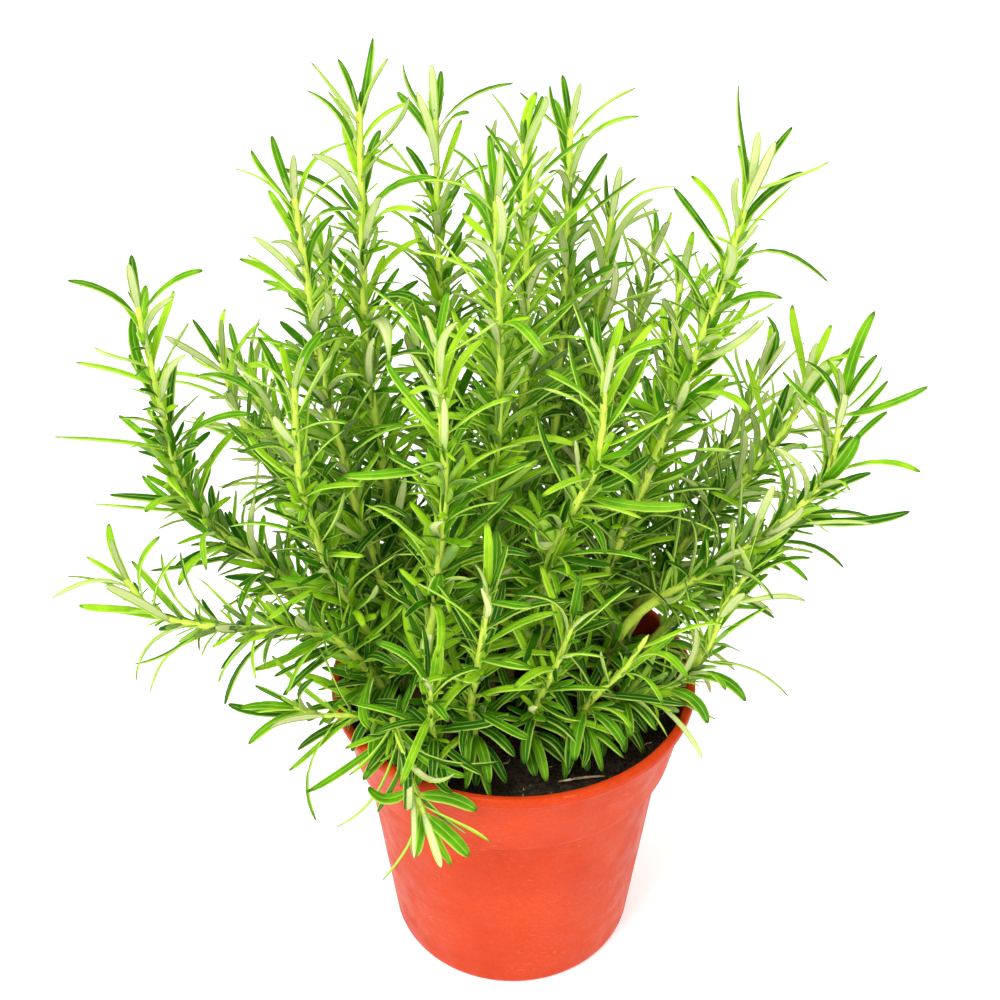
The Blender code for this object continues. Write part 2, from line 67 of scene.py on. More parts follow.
# Each shoot is a smooth stem through these points in millimetres.  The first
# has no height: it stands on the soil.
SHOOTS: dict[str, tuple] = {
    "centre_shoot_1": ((-20, 8), (-38, 14, 158), (-47, 19, 222), (-46, 25, 308)),
    "centre_shoot_2": ((-10, 24), (-20, 34, 170), (-24, 43, 240), (-24, 50, 298)),
    "centre_shoot_3": ((-1, 10), (1, 15, 170), (4, 20, 238), (3, 25, 298)),
    "centre_shoot_4": ((7, 29), (14, 38, 168), (18, 48, 235), (19, 55, 293)),
    "centre_shoot_5": ((-8, -6), (-9, -8, 165), (-5, -7, 232), (-6, -5, 291)),
    "centre_shoot_6": ((16, 22), (24, 38, 160), (29, 50, 215), (34, 60, 261)),
    "left_shoot_1": ((-24, -2), (-46, 3, 155), (-60, 9, 222), (-66, 15, 285)),
    "left_shoot_2": ((-34, 2), (-79, -2, 158), (-104, -5, 188), (-110, -5, 228), (-112, -6, 260)),
    "left_shoot_3": ((-30, 22), (-66, 36, 152), (-92, 43, 186), (-100, 45, 215)),
    "left_shoot_4": ((-27, 13), (-58, 23, 152), (-76, 28, 184), (-84, 30, 211)),
    "left_shoot_5": ((-30, -10), (-55, -12, 152), (-67, -14, 196), (-67, -15, 237)),
    "left_shoot_6": (
        (-37, -13), (-60, -21, 146), (-88, -28, 156), (-112, -32, 164), (-122, -33, 180)
    ),
    "left_shoot_7": (
        (-36, -21), (-47, -28, 118), (-56, -33, 123), (-64, -35, 125), (-72, -36, 129)
    ),
    "right_shoot_1": ((14, 6), (32, 8, 150), (49, 9, 204), (63, 10, 255), (70, 10, 291)),
    "right_shoot_2": ((23, 13), (38, 26, 155), (52, 36, 205), (56, 40, 246)),
    "right_shoot_3": (
        (26, -3), (40, -6, 140), (62, -5, 158), (88, -1, 176), (102, 0, 195), (104, 0, 222)
    ),
    "right_shoot_4": ((33, 10), (58, 18, 150), (82, 25, 178), (96, 29, 200), (100, 30, 216)),
    "right_shoot_5": (
        (24, -19), (38, -22, 121), (54, -21, 124), (65, -17, 136), (71, -13, 152), (78, -12, 166)
    ),
    "right_shoot_6": ((36, 1), (60, 7, 136), (82, 11, 154), (98, 13, 172)),
    "right_shoot_7": ((33, 19), (62, 34, 146), (84, 46, 166), (96, 52, 184)),
    "front_shoot_1": (
        (-24, -22), (-29, -29, 140), (-26, -32, 170), (-22, -31, 210), (-23, -30, 257)
    ),
    "front_shoot_2": ((8, -13), (8, -18, 145), (12, -22, 183), (24, -26, 216), (25, -28, 249)),
    "front_shoot_3": ((-12, -33), (-15, -40, 130), (-12, -45, 158), (-9, -48, 184)),
    "front_shoot_4": (
        (-35, -30), (-40, -39, 124), (-40, -45, 130), (-37, -53, 126), (-34, -61, 119), (-30, -68, 112)
    ),
    "front_shoot_5": ((3, -29), (7, -35, 128), (13, -39, 150), (17, -41, 166)),
    "front_shoot_6": ((16, -26), (25, -31, 126), (35, -34, 142), (41, -36, 156)),
    "front_shoot_7": ((-24, -36), (-27, -43, 122), (-28, -48, 136), (-27, -51, 150)),
    "back_shoot_1": ((-19, 31), (-40, 46, 158), (-58, 60, 205), (-66, 70, 244)),
    "back_shoot_2": ((-2, 37), (-4, 54, 165), (-6, 70, 220), (-4, 82, 267)),
    "back_shoot_3": ((17, 35), (30, 52, 160), (44, 68, 205), (52, 80, 241)),
    "back_shoot_4": ((-34, 31), (-62, 50, 146), (-86, 64, 174), (-98, 72, 199)),
    "back_shoot_5": ((30, 29), (58, 48, 146), (82, 62, 170), (94, 70, 197)),
    "back_shoot_6": ((-11, 43), (-20, 66, 146), (-30, 86, 170), (-34, 96, 195)),
    "back_shoot_7": ((9, 46), (20, 68, 148), (30, 90, 176), (34, 100, 203)),
}

# How a leaf may be turned or shortened to clear its neighbours, tried in order:
# degrees added to its spread, degrees around the stem and share of its length.
LEAF_TRIES: tuple[Triple, ...] = (
    (0, 0, 1.0),
    (9, 0, 1.0),
    (-9, 0, 1.0),
    (0, 14, 1.0),
    (0, -14, 1.0),
    (12, 18, 1.0),
    (12, -18, 1.0),
    (-12, 18, 0.9),
    (-12, -18, 0.9),
    (20, 0, 0.85),
    (-18, 0, 0.85),
    (0, 28, 0.85),
    (0, -28, 0.85),
    (0, 0, 0.65),
    (18, 24, 0.65),
    (18, -24, 0.65),
    (-14, 0, 0.55),
    (24, 0, 0.5),
    (0, 0, 0.4),
)


def clamped(value: float) -> float:
    """The value, kept between 0 and 1."""
    return min(1.0, max(0.0, value))


# --------------------------------------------------------------------------
# Finishes
# --------------------------------------------------------------------------


class Slot(Enum):
    """The record's material slots that the pieces take their finish from."""

    POT = "pot_plastic"
    SOIL = "potting_soil"
    LEAF = "rosemary_leaf"
    STEM = "rosemary_stem"
    STRAW = "dry_straw"


class Recipe:
    """Lays out the nodes of one material."""

    def __init__(self, name: str) -> None:
        """Start a material with its Principled shader.

        Args:
            name: Name of the material.
        """
        self.material = bpy.data.materials.new(name)
        self.material.use_nodes = True
        self.tree = self.material.node_tree
        self.shader = self.tree.nodes["Principled BSDF"]

    def node(self, kind: str, **settings: object) -> bpy.types.Node:
        """Add a node.

        Args:
            kind: Type of the node.
            **settings: Properties to set on it.

        Returns:
            The new node.
        """
        made = self.tree.nodes.new(kind)
        for key, value in settings.items():
            setattr(made, key, value)
        return made

    def join(self, source: Socket, target: Socket) -> None:
        """Link one socket to another."""
        self.tree.links.new(source, target)

    def feed(self, target: Socket, value: object) -> None:
        """Give a socket another socket's value, a colour or a number.

        Args:
            target: Socket to fill.
            value: Socket, colour or number.
        """
        if isinstance(value, Socket):
            self.join(value, target)
        elif isinstance(value, tuple) and len(value) == 3 and target.type == "RGBA":
            target.default_value = (*value, 1.0)
        else:
            target.default_value = value

    def place(self, stretch: Triple = EVEN) -> Socket:
        """Object coordinates, stretched along each axis.

        Args:
            stretch: Scale along X, Y and Z.

        Returns:
            The vector socket.
        """
        where = self.node("ShaderNodeTexCoord").outputs["Object"]
        if stretch == EVEN:
            return where
        mapping = self.node("ShaderNodeMapping")
        mapping.inputs["Scale"].default_value = stretch
        self.join(where, mapping.inputs["Vector"])
        return mapping.outputs["Vector"]

    def grain(self, pitch: float, detail: float = 3.0, stretch: Triple = EVEN) -> Socket:
        """Noise whose lumps are about one pitch across.

        Args:
            pitch: Size of a lump.
            detail: Octaves of finer noise.
            stretch: Scale along X, Y and Z.

        Returns:
            The factor socket.
        """
        made = self.node("ShaderNodeTexNoise")
        made.inputs["Scale"].default_value = 1.0 / pitch
        made.inputs["Detail"].default_value = detail
        self.join(self.place(stretch), made.inputs["Vector"])
        return made.outputs["Fac"]

    def cells(self, pitch: float) -> Socket:
        """Distance inside Voronoi cells about one pitch across.

        Args:
            pitch: Size of a cell.

        Returns:
            The distance socket.
        """
        made = self.node("ShaderNodeTexVoronoi", feature="F1")
        made.inputs["Scale"].default_value = 1.0 / pitch
        self.join(self.place(), made.inputs["Vector"])
        return made.outputs["Distance"]

    def ramp(self, factor: Socket, stops: Sequence[tuple[float, Colour]]) -> Socket:
        """Colour that runs through stops.

        Args:
            factor: What drives the ramp.
            stops: Positions and colours in order.

        Returns:
            The colour socket.
        """
        made = self.node("ShaderNodeValToRGB")
        band = made.color_ramp
        while len(band.elements) < len(stops):
            band.elements.new(0.5)
        for element, (position, colour) in zip(band.elements, stops):
            element.position = position
            element.color = (*colour, 1.0)
        self.join(factor, made.inputs["Fac"])
        return made.outputs["Color"]

    def fade(
        self, factor: Socket, low: float, high: float, first: float = 0.0, last: float = 1.0
    ) -> Socket:
        """Number that goes smoothly from one value to another.

        Args:
            factor: What drives the change.
            low: Factor where it starts.
            high: Factor where it ends.
            first: Value before.
            last: Value after.

        Returns:
            The value socket.
        """
        made = self.node("ShaderNodeMapRange", interpolation_type="SMOOTHSTEP")
        made.clamp = True
        made.inputs["From Min"].default_value = low
        made.inputs["From Max"].default_value = high
        made.inputs["To Min"].default_value = first
        made.inputs["To Max"].default_value = last
        self.join(factor, made.inputs["Value"])
        return made.outputs["Result"]

    def arithmetic(self, operation: str, first: object, second: object) -> Socket:
        """Arithmetic on two values.

        Args:
            operation: Name of the operation.
            first: Socket or number.
            second: Socket or number.

        Returns:
            The value socket.
        """
        made = self.node("ShaderNodeMath", operation=operation)
        self.feed(made.inputs[0], first)
        self.feed(made.inputs[1], second)
        return made.outputs["Value"]

    def plus(self, first: object, second: object) -> Socket:
        """Sum of two values."""
        return self.arithmetic("ADD", first, second)

    def times(self, first: object, second: object) -> Socket:
        """Product of two values."""
        return self.arithmetic("MULTIPLY", first, second)

    def blend(self, factor: object, first: object, second: object) -> Socket:
        """Mix of two colours.

        Args:
            factor: Share of the second colour.
            first: Socket or colour.
            second: Socket or colour.

        Returns:
            The colour socket.
        """
        made = self.node("ShaderNodeMix", data_type="RGBA", blend_type="MIX")
        self.feed(made.inputs[0], factor)
        self.feed(made.inputs[6], first)
        self.feed(made.inputs[7], second)
        return made.outputs[2]

    def trait(self, name: str) -> Socket:
        """Value of a mesh attribute."""
        return self.node("ShaderNodeAttribute", attribute_name=name).outputs["Fac"]

    def raise_by(self, height: Socket, distance: float, strength: float) -> None:
        """Bump the surface.

        Args:
            height: Height between 0 and 1.
            distance: Height of the bumps.
            strength: Strength of the effect.
        """
        bump = self.node("ShaderNodeBump")
        bump.inputs["Distance"].default_value = distance
        bump.inputs["Strength"].default_value = strength
        self.join(height, bump.inputs["Height"])
        self.join(bump.outputs["Normal"], self.shader.inputs["Normal"])

    def paint(self, colour: object) -> None:
        """Set the base colour."""
        self.feed(self.shader.inputs["Base Color"], colour)

    def rough(self, value: object) -> None:
        """Set the roughness."""
        self.feed(self.shader.inputs["Roughness"], value)

    def shine(self, value: float) -> None:
        """Set how strongly the surface reflects."""
        self.feed(self.shader.inputs["Specular IOR Level"], value)


@dataclass(frozen=True)
class LeafFinish:
    """Leathery needle: grooved green upper side, felted underside, rolled green margin."""

    name: str = "rosemary_leaf"
    old: Colour = (0.007, 0.098, 0.001)
    grown: Colour = (0.108, 0.355, 0.002)
    young: Colour = (0.430, 0.720, 0.014)
    margin: Colour = (0.660, 0.870, 0.140)
    felt: Colour = (0.950, 0.980, 0.480)
    foot: Colour = (0.720, 0.860, 0.100)
    tip: Colour = (0.020, 0.070, 0.004)
    through: Colour = (0.45, 0.85, 0.03)
    glow: float = 0.30
    patchiness: float = 0.12
    variety: float = 0.46
    shine: float = 0.11

    def material(self) -> bpy.types.Material:
        """Build the leaf material from the attributes of the blades.

        Returns:
            The material.
        """
        made = Recipe(self.name)
        along, edge = made.trait("along"), made.trait("edge")
        tone, youth, under = made.trait("tone"), made.trait("youth"), made.trait("under")
        patch = made.fade(made.grain(7 * MM, 2.0), 0.3, 0.7, -self.patchiness, self.patchiness)
        own = made.fade(tone, 0.0, 1.0, -self.variety, self.variety)
        # A leaf's youth carries painted shade: darker green away from the plant's middle and on the low
        # skirt leaves.
        shade = made.plus(made.plus(youth, own), patch)
        top = made.ramp(shade, ((0.0, self.old), (0.45, self.grown), (1.0, self.young)))
        groove = made.fade(edge, 0.02, 0.16, 0.45, 0.0)
        top = made.blend(groove, top, self.margin)
        rim = made.fade(edge, 0.66, 1.0, 0.0, 0.90)
        top = made.blend(rim, top, self.margin)
        foot = made.fade(along, 0.0, 0.16, 0.85, 0.0)
        top = made.blend(foot, top, self.foot)
        end = made.fade(along, 0.90, 1.0, 0.0, 0.85)
        top = made.blend(end, top, self.tip)
        dull_felt = tuple(part * 0.86 for part in self.felt)
        down = made.ramp(made.grain(0.5 * MM, 3.0), ((0.3, dull_felt), (0.7, self.felt)))
        down = made.blend(made.fade(edge, 0.03, 0.14, 0.5, 0.0), down, self.margin)
        back = made.fade(under, 0.55, 0.85)
        colour = made.blend(back, top, down)
        made.paint(colour)
        made.rough(made.fade(under, 0.4, 0.9, 0.48, 0.92))
        coarse = made.grain(0.9 * MM, 3.0)
        wrinkle = made.plus(coarse, made.times(made.grain(0.25 * MM, 1.0), 0.3))
        made.raise_by(wrinkle, 0.18 * MM, 0.5)
        made.shine(self.shine)
        through = made.node("ShaderNodeBsdfTranslucent")
        made.join(made.blend(0.5, colour, self.through), through.inputs["Color"])
        mix = made.node("ShaderNodeMixShader")
        mix.inputs["Fac"].default_value = self.glow
        made.join(made.shader.outputs["BSDF"], mix.inputs[1])
        made.join(through.outputs["BSDF"], mix.inputs[2])
        made.join(mix.outputs["Shader"], made.tree.nodes["Material Output"].inputs["Surface"])
        return made.material


@dataclass(frozen=True)
class StemFinish:
    """Square green stem that turns brown and barky near the soil."""

    name: str = "rosemary_stem"
    bark: Colour = (0.220, 0.130, 0.050)
    green: Colour = (0.470, 0.620, 0.045)
    young: Colour = (0.680, 0.840, 0.100)
    scar: Colour = (0.400, 0.280, 0.090)

    def material(self) -> bpy.types.Material:
        """Build the stem material.

        Returns:
            The material.
        """
        made = Recipe(self.name)
        youth = made.plus(made.trait("youth"), made.fade(made.grain(5 * MM), 0.3, 0.7, -0.1, 0.1))
        colour = made.ramp(youth, ((0.04, self.bark), (0.22, self.green), (0.7, self.young)))
        fleck = made.fade(made.grain(1.6 * MM, 4.0, (1.0, 1.0, 0.35)), 0.58, 0.72, 0.0, 0.5)
        colour = made.blend(fleck, colour, self.scar)
        made.paint(colour)
        made.rough(0.7)
        made.raise_by(made.grain(0.7 * MM, 4.0, (1.0, 1.0, 0.25)), 0.25 * MM, 0.6)
        return made.material


@dataclass(frozen=True)
class PlasticFinish:
    """Soft orange-red nursery plastic with rubs, dust and specks of soil."""

    name: str = "pot_plastic"
    base: Colour = (0.600, 0.058, 0.009)
    deep: Colour = (0.500, 0.036, 0.003)
    shadow: Colour = (0.400, 0.028, 0.004)
    rub: Colour = (0.740, 0.170, 0.080)
    speck: Colour = (0.120, 0.050, 0.030)
    dust: Colour = (0.800, 0.300, 0.180)
    shine: float = 0.08

    def material(self) -> bpy.types.Material:
        """Build the pot material.

        Returns:
            The material.
        """
        made = Recipe(self.name)
        colour = made.ramp(made.grain(30 * MM, 2.0), ((0.30, self.deep), (0.70, self.base)))
        streaks = made.fade(made.grain(1.6 * MM, 6.0, (0.5, 0.5, 1.8)), 0.60, 0.70)
        rubs = made.times(streaks, made.fade(made.grain(20 * MM, 3.0), 0.50, 0.62))
        colour = made.blend(made.times(rubs, 0.45), colour, self.rub)
        mottle = made.fade(made.grain(1.1 * MM, 6.0), 0.40, 0.62, 0.30, 0.0)
        colour = made.blend(mottle, colour, self.shadow)
        haze = made.fade(made.grain(2.5 * MM, 6.0), 0.52, 0.80, 0.0, 0.05)
        colour = made.blend(haze, colour, self.dust)
        dots = made.fade(made.cells(4 * MM), 0.06, 0.10, 1.0, 0.0)
        specks = made.times(dots, made.fade(made.grain(14 * MM, 2.0), 0.50, 0.58))
        colour = made.blend(made.times(specks, 0.8), colour, self.speck)
        made.paint(colour)
        made.rough(made.fade(made.grain(9 * MM, 4.0), 0.3, 0.7, 0.34, 0.52))
        ripple = made.plus(made.grain(6 * MM, 3.0, (1.0, 1.0, 2.0)), made.times(rubs, 0.3))
        made.raise_by(ripple, 0.22 * MM, 0.5)
        made.shine(self.shine)
        return made.material


@dataclass(frozen=True)
class PeatFinish:
    """Dark damp peat with paler crumbs and fibre."""

    name: str = "potting_soil"
    wet: Colour = (0.010, 0.008, 0.005)
    dry: Colour = (0.060, 0.042, 0.024)
    grit: Colour = (0.240, 0.190, 0.120)
    shine: float = 0.2

    def material(self) -> bpy.types.Material:
        """Build the soil material.

        Returns:
            The material.
        """
        made = Recipe(self.name)
        colour = made.ramp(made.grain(1.3 * MM, 5.0), ((0.35, self.wet), (0.68, self.dry)))
        dots = made.fade(made.cells(2.4 * MM), 0.10, 0.18, 1.0, 0.0)
        grit = made.times(dots, made.fade(made.grain(4 * MM), 0.56, 0.62))
        colour = made.blend(grit, colour, self.grit)
        made.paint(colour)
        made.rough(0.95)
        made.raise_by(made.grain(0.8 * MM, 6.0), 0.7 * MM, 1.0)
        made.shine(self.shine)
        return made.material


@dataclass(frozen=True)
class StrawFinish:
    """Dry plant fibre."""

    name: str = "dry_straw"
    pale: Colour = (0.700, 0.560, 0.380)
    brown: Colour = (0.380, 0.240, 0.120)

    def material(self) -> bpy.types.Material:
        """Build the straw material.

        Returns:
            The material.
        """
        made = Recipe(self.name)
        made.paint(made.ramp(made.grain(3 * MM, 4.0), ((0.35, self.brown), (0.6, self.pale))))
        made.rough(0.75)
        made.raise_by(made.grain(0.4 * MM, 3.0), 0.08 * MM, 0.8)
        return made.material


@dataclass(frozen=True)
class FloorFinish:
    """Plain white floor that glows a little."""

    name: str = "studio_floor"
    white: Colour = (0.90, 0.90, 0.90)
    glow: Colour = (1.0, 1.0, 1.0)
    lift: float = 0.35
    shine: float = 0.1

    def material(self) -> bpy.types.Material:
        """Build the floor material.

        Returns:
            The material.
        """
        made = Recipe(self.name)
        made.paint(self.white)
        made.rough(0.9)
        made.shine(self.shine)
        made.feed(made.shader.inputs["Emission Color"], self.glow)
        made.feed(made.shader.inputs["Emission Strength"], self.lift)
        return made.material


# --------------------------------------------------------------------------
# Meshes
# --------------------------------------------------------------------------


def new_object(name: str, data: bpy.types.ID) -> bpy.types.Object:
    """Put a mesh, a light or a camera in the scene.

    Args:
        name: Name of the object.
        data: What it shows.

    Returns:
        The new object.
    """
    obj = bpy.data.objects.new(name, data)
    bpy.context.scene.collection.objects.link(obj)
    return obj


def add_piece(
    name: str,
    mesh: bpy.types.Mesh,
    material: bpy.types.Material,
    slot: Slot,
    stands_for: Sequence[str] = (),
) -> bpy.types.Object:
    """Put a mesh in the scene as a piece of the plant or its pot.

    Args:
        name: Name of the piece.
        mesh: Its mesh, in the frame's axes.
        material: Its material.
        slot: Record slot that it takes its finish from; not used.
        stands_for: CAD nodes that it replaces.

    Returns:
        The new object.
    """
    obj = new_object(name, mesh)
    mesh.materials.clear()
    mesh.materials.append(material)
    mesh.shade_smooth()
    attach(obj, BODY)
    if stands_for:
        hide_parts(*stands_for)
    log.info("%s: %d faces", name, len(mesh.polygons))
    return obj


def finished(made: bmesh.types.BMesh, name: str) -> bpy.types.Mesh:
    """Store a worked mesh and let go of the work.

    Args:
        made: The worked mesh.
        name: Name of the stored mesh.

    Returns:
        The stored mesh.
    """
    mesh = bpy.data.meshes.new(name)
    made.to_mesh(mesh)
    made.free()
    return mesh


def mark(mesh: bpy.types.Mesh, key: str, values: Sequence[float]) -> None:
    """Store one number for each point of a mesh."""
    mesh.attributes.new(key, "FLOAT", "POINT").data.foreach_set("value", values)


def lay_out(mesh: bpy.types.Mesh, places: Sequence[tuple[float, float]]) -> None:
    """Give each corner of a mesh its place on the map that colours are baked to."""
    layer = mesh.uv_layers.new(name="OFBake")
    layer.data.foreach_set("uv", np.array(places, np.float32).ravel())


def turned_mesh(name: str, profile: Profile, sides: int) -> bpy.types.Mesh:
    """Turn a closed outline around the Z axis.

    Args:
        name: Name of the mesh.
        profile: Points of (radius, height) from the axis over the inside to
            the rim and down the outer side back to the axis.
        sides: Steps around the axis.

    Returns:
        The turned mesh with its faces pointing out.
    """
    made = bmesh.new()
    rings: list[list[bmesh.types.BMVert]] = []
    for radius, height in profile:
        if radius == 0.0:
            rings.append([made.verts.new((0.0, 0.0, height))])
            continue
        turns = (math.tau * step / sides for step in range(sides))
        ring = [(radius * math.cos(turn), radius * math.sin(turn), height) for turn in turns]
        rings.append([made.verts.new(point) for point in ring])
    for first, second in zip(rings, rings[1:]):
        for step in range(sides):
            after = (step + 1) % sides
            if len(first) == 1:
                made.faces.new((first[0], second[step], second[after]))
            elif len(second) == 1:
                made.faces.new((first[after], first[step], second[0]))
            else:
                made.faces.new((first[step], second[step], second[after], first[after]))
    bmesh.ops.recalc_face_normals(made, faces=made.faces[:])
    return finished(made, name)


def rounded(profile: Profile, radius: float, steps: int = 4) -> Profile:
    """Round the corners of an outline.

    Args:
        profile: Points of (radius, height).
        radius: Length of each side that a corner may use.
        steps: Segments in each rounded corner.

    Returns:
        The outline with its corners rounded.
    """
    made: Profile = [profile[0]]
    for before, corner, after in zip(profile, profile[1:], profile[2:]):
        here = Vector(corner)
        back, ahead = Vector(before) - here, Vector(after) - here
        reach = min(radius, back.length * 0.45, ahead.length * 0.45)
        start, end = here + back.normalized() * reach, here + ahead.normalized() * reach
        for step in range(steps + 1):
            t = step / steps
            point = start * (1 - t) ** 2 + here * 2 * t * (1 - t) + end * t * t
            made.append((point.x, point.y))
    made.append(profile[-1])
    return made


# --------------------------------------------------------------------------
# Pot, soil and straw
# --------------------------------------------------------------------------


@dataclass
class Pot:
    """Thin plastic pot with a rolled rim, a tapered collar and drain holes."""

    rim_radius: float = 65.0 * MM
    height: float = 114.0 * MM
    bead_height: float = 4.0 * MM
    collar_bottom: float = 84.0 * MM
    collar_top_radius: float = 63.0 * MM
    collar_bottom_radius: float = 58.2 * MM
    wall_top_radius: float = 54.6 * MM
    base_radius: float = 46.0 * MM
    wall: float = 1.3 * MM
    lip: float = 0.9 * MM
    corner: float = 1.1 * MM
    floor_fillet: float = 1.5 * MM
    step_above: float = 2.0 * MM
    step_below: float = 1.0 * MM
    foot_inner_radius: float = 40.0 * MM
    pad_radius: float = 12.0 * MM
    floor_rise: float = 2.0 * MM
    floor_top: float = 3.6 * MM
    drain_holes: int = 8
    drain_radius: float = 4.0 * MM
    drain_circle: float = 30.0 * MM
    drain_pin_middle: float = 2.8 * MM
    drain_pin_length: float = 6.0 * MM
    crease: float = 50.0
    sides: int = 168
    finish: PlasticFinish = field(default_factory=PlasticFinish)

    def inside(self) -> Profile:
        """Outline from the centre of the floor up to the rim."""
        return [
            (0.0, self.floor_top),
            (self.base_radius - self.wall - self.floor_fillet, self.floor_top),
            (self.base_radius - self.wall, self.floor_top + self.floor_fillet),
            (self.wall_top_radius - self.wall, self.collar_bottom - self.step_below),
            (self.collar_bottom_radius - self.wall, self.collar_bottom + self.step_above),
            (self.collar_top_radius - self.wall, self.height - self.bead_height),
            (self.collar_top_radius - self.lip, self.height),
        ]

    def outside(self) -> Profile:
        """Outline of the rolled rim, collar, wall and foot, from the top down."""
        bead_bottom = self.height - self.bead_height
        return [
            (self.rim_radius - self.lip, self.height),
            (self.rim_radius, self.height - self.lip),
            (self.rim_radius, bead_bottom + 0.8 * MM),
            (self.rim_radius - 0.8 * MM, bead_bottom),
            (self.collar_top_radius, bead_bottom - 0.4 * MM),
            (self.collar_bottom_radius, self.collar_bottom + 1.4 * MM),
            (self.collar_bottom_radius - 1.0 * MM, self.collar_bottom),
            (self.wall_top_radius, self.collar_bottom - 2.4 * MM),
            (self.base_radius, 2.5 * MM),
            (self.base_radius - 0.7 * MM, 0.8 * MM),
            (self.base_radius - 1.8 * MM, 0.0),
            (self.foot_inner_radius, 0.0),
            (self.foot_inner_radius - 0.5 * MM, self.floor_rise),
            (self.pad_radius + 0.5 * MM, self.floor_rise),
            (self.pad_radius, 0.0),
            (0.0, 0.0),
        ]

    def build(self) -> bpy.types.Object:
        """Turn the pot, cut its drain holes and dress it.

        Returns:
            The pot.
        """
        profile = rounded(self.inside() + self.outside(), self.corner)
        body = new_object("pot_blank", turned_mesh("pot_body", profile, self.sides))
        cutter = self.drain_cutter()
        cut = body.modifiers.new("drain", "BOOLEAN")
        cut.operation = "DIFFERENCE"
        cut.solver = "EXACT"
        cut.object = cutter
        evaluated = body.evaluated_get(bpy.context.evaluated_depsgraph_get())
        drained = bpy.data.meshes.new_from_object(evaluated)
        drained.name = "pot_body"
        bpy.data.objects.remove(body, do_unlink=True)
        bpy.data.objects.remove(cutter, do_unlink=True)
        pot = add_piece("pot_body", drained, self.finish.material(), Slot.POT, ("pot",))
        drained.set_sharp_from_angle(angle=math.radians(self.crease))
        return pot

    def drain_cutter(self) -> bpy.types.Object:
        """Pins where the drain holes go.

        Returns:
            The cutting object.
        """
        pins = bmesh.new()
        for index in range(self.drain_holes):
            angle = math.tau * (index + 0.5) / self.drain_holes
            x, y = self.drain_circle * math.cos(angle), self.drain_circle * math.sin(angle)
            bmesh.ops.create_cone(
                pins,
                cap_ends=True,
                segments=32,
                radius1=self.drain_radius,
                radius2=self.drain_radius,
                depth=self.drain_pin_length,
                matrix=Matrix.Translation((x, y, self.drain_pin_middle)),
            )
        return new_object("drain_pins", finished(pins, "drain_pins"))

    def inner_radius(self, height: float) -> float:
        """Radius of the inside at a height."""
        line = self.inside()
        for (r0, z0), (r1, z1) in zip(line[2:], line[3:]):
            if z0 <= height <= z1:
                return r0 + (r1 - r0) * (height - z0) / (z1 - z0)
        return line[2][0]

    def outer_radius(self, height: float) -> float:
        """Radius of the outside at a height."""
        line = self.outside()[1:10]
        for (r0, z0), (r1, z1) in zip(line, line[1:]):
            if z1 <= height <= z0:
                return r1 + (r0 - r1) * (height - z1) / max(z0 - z1, 1e-9)
        return self.rim_radius


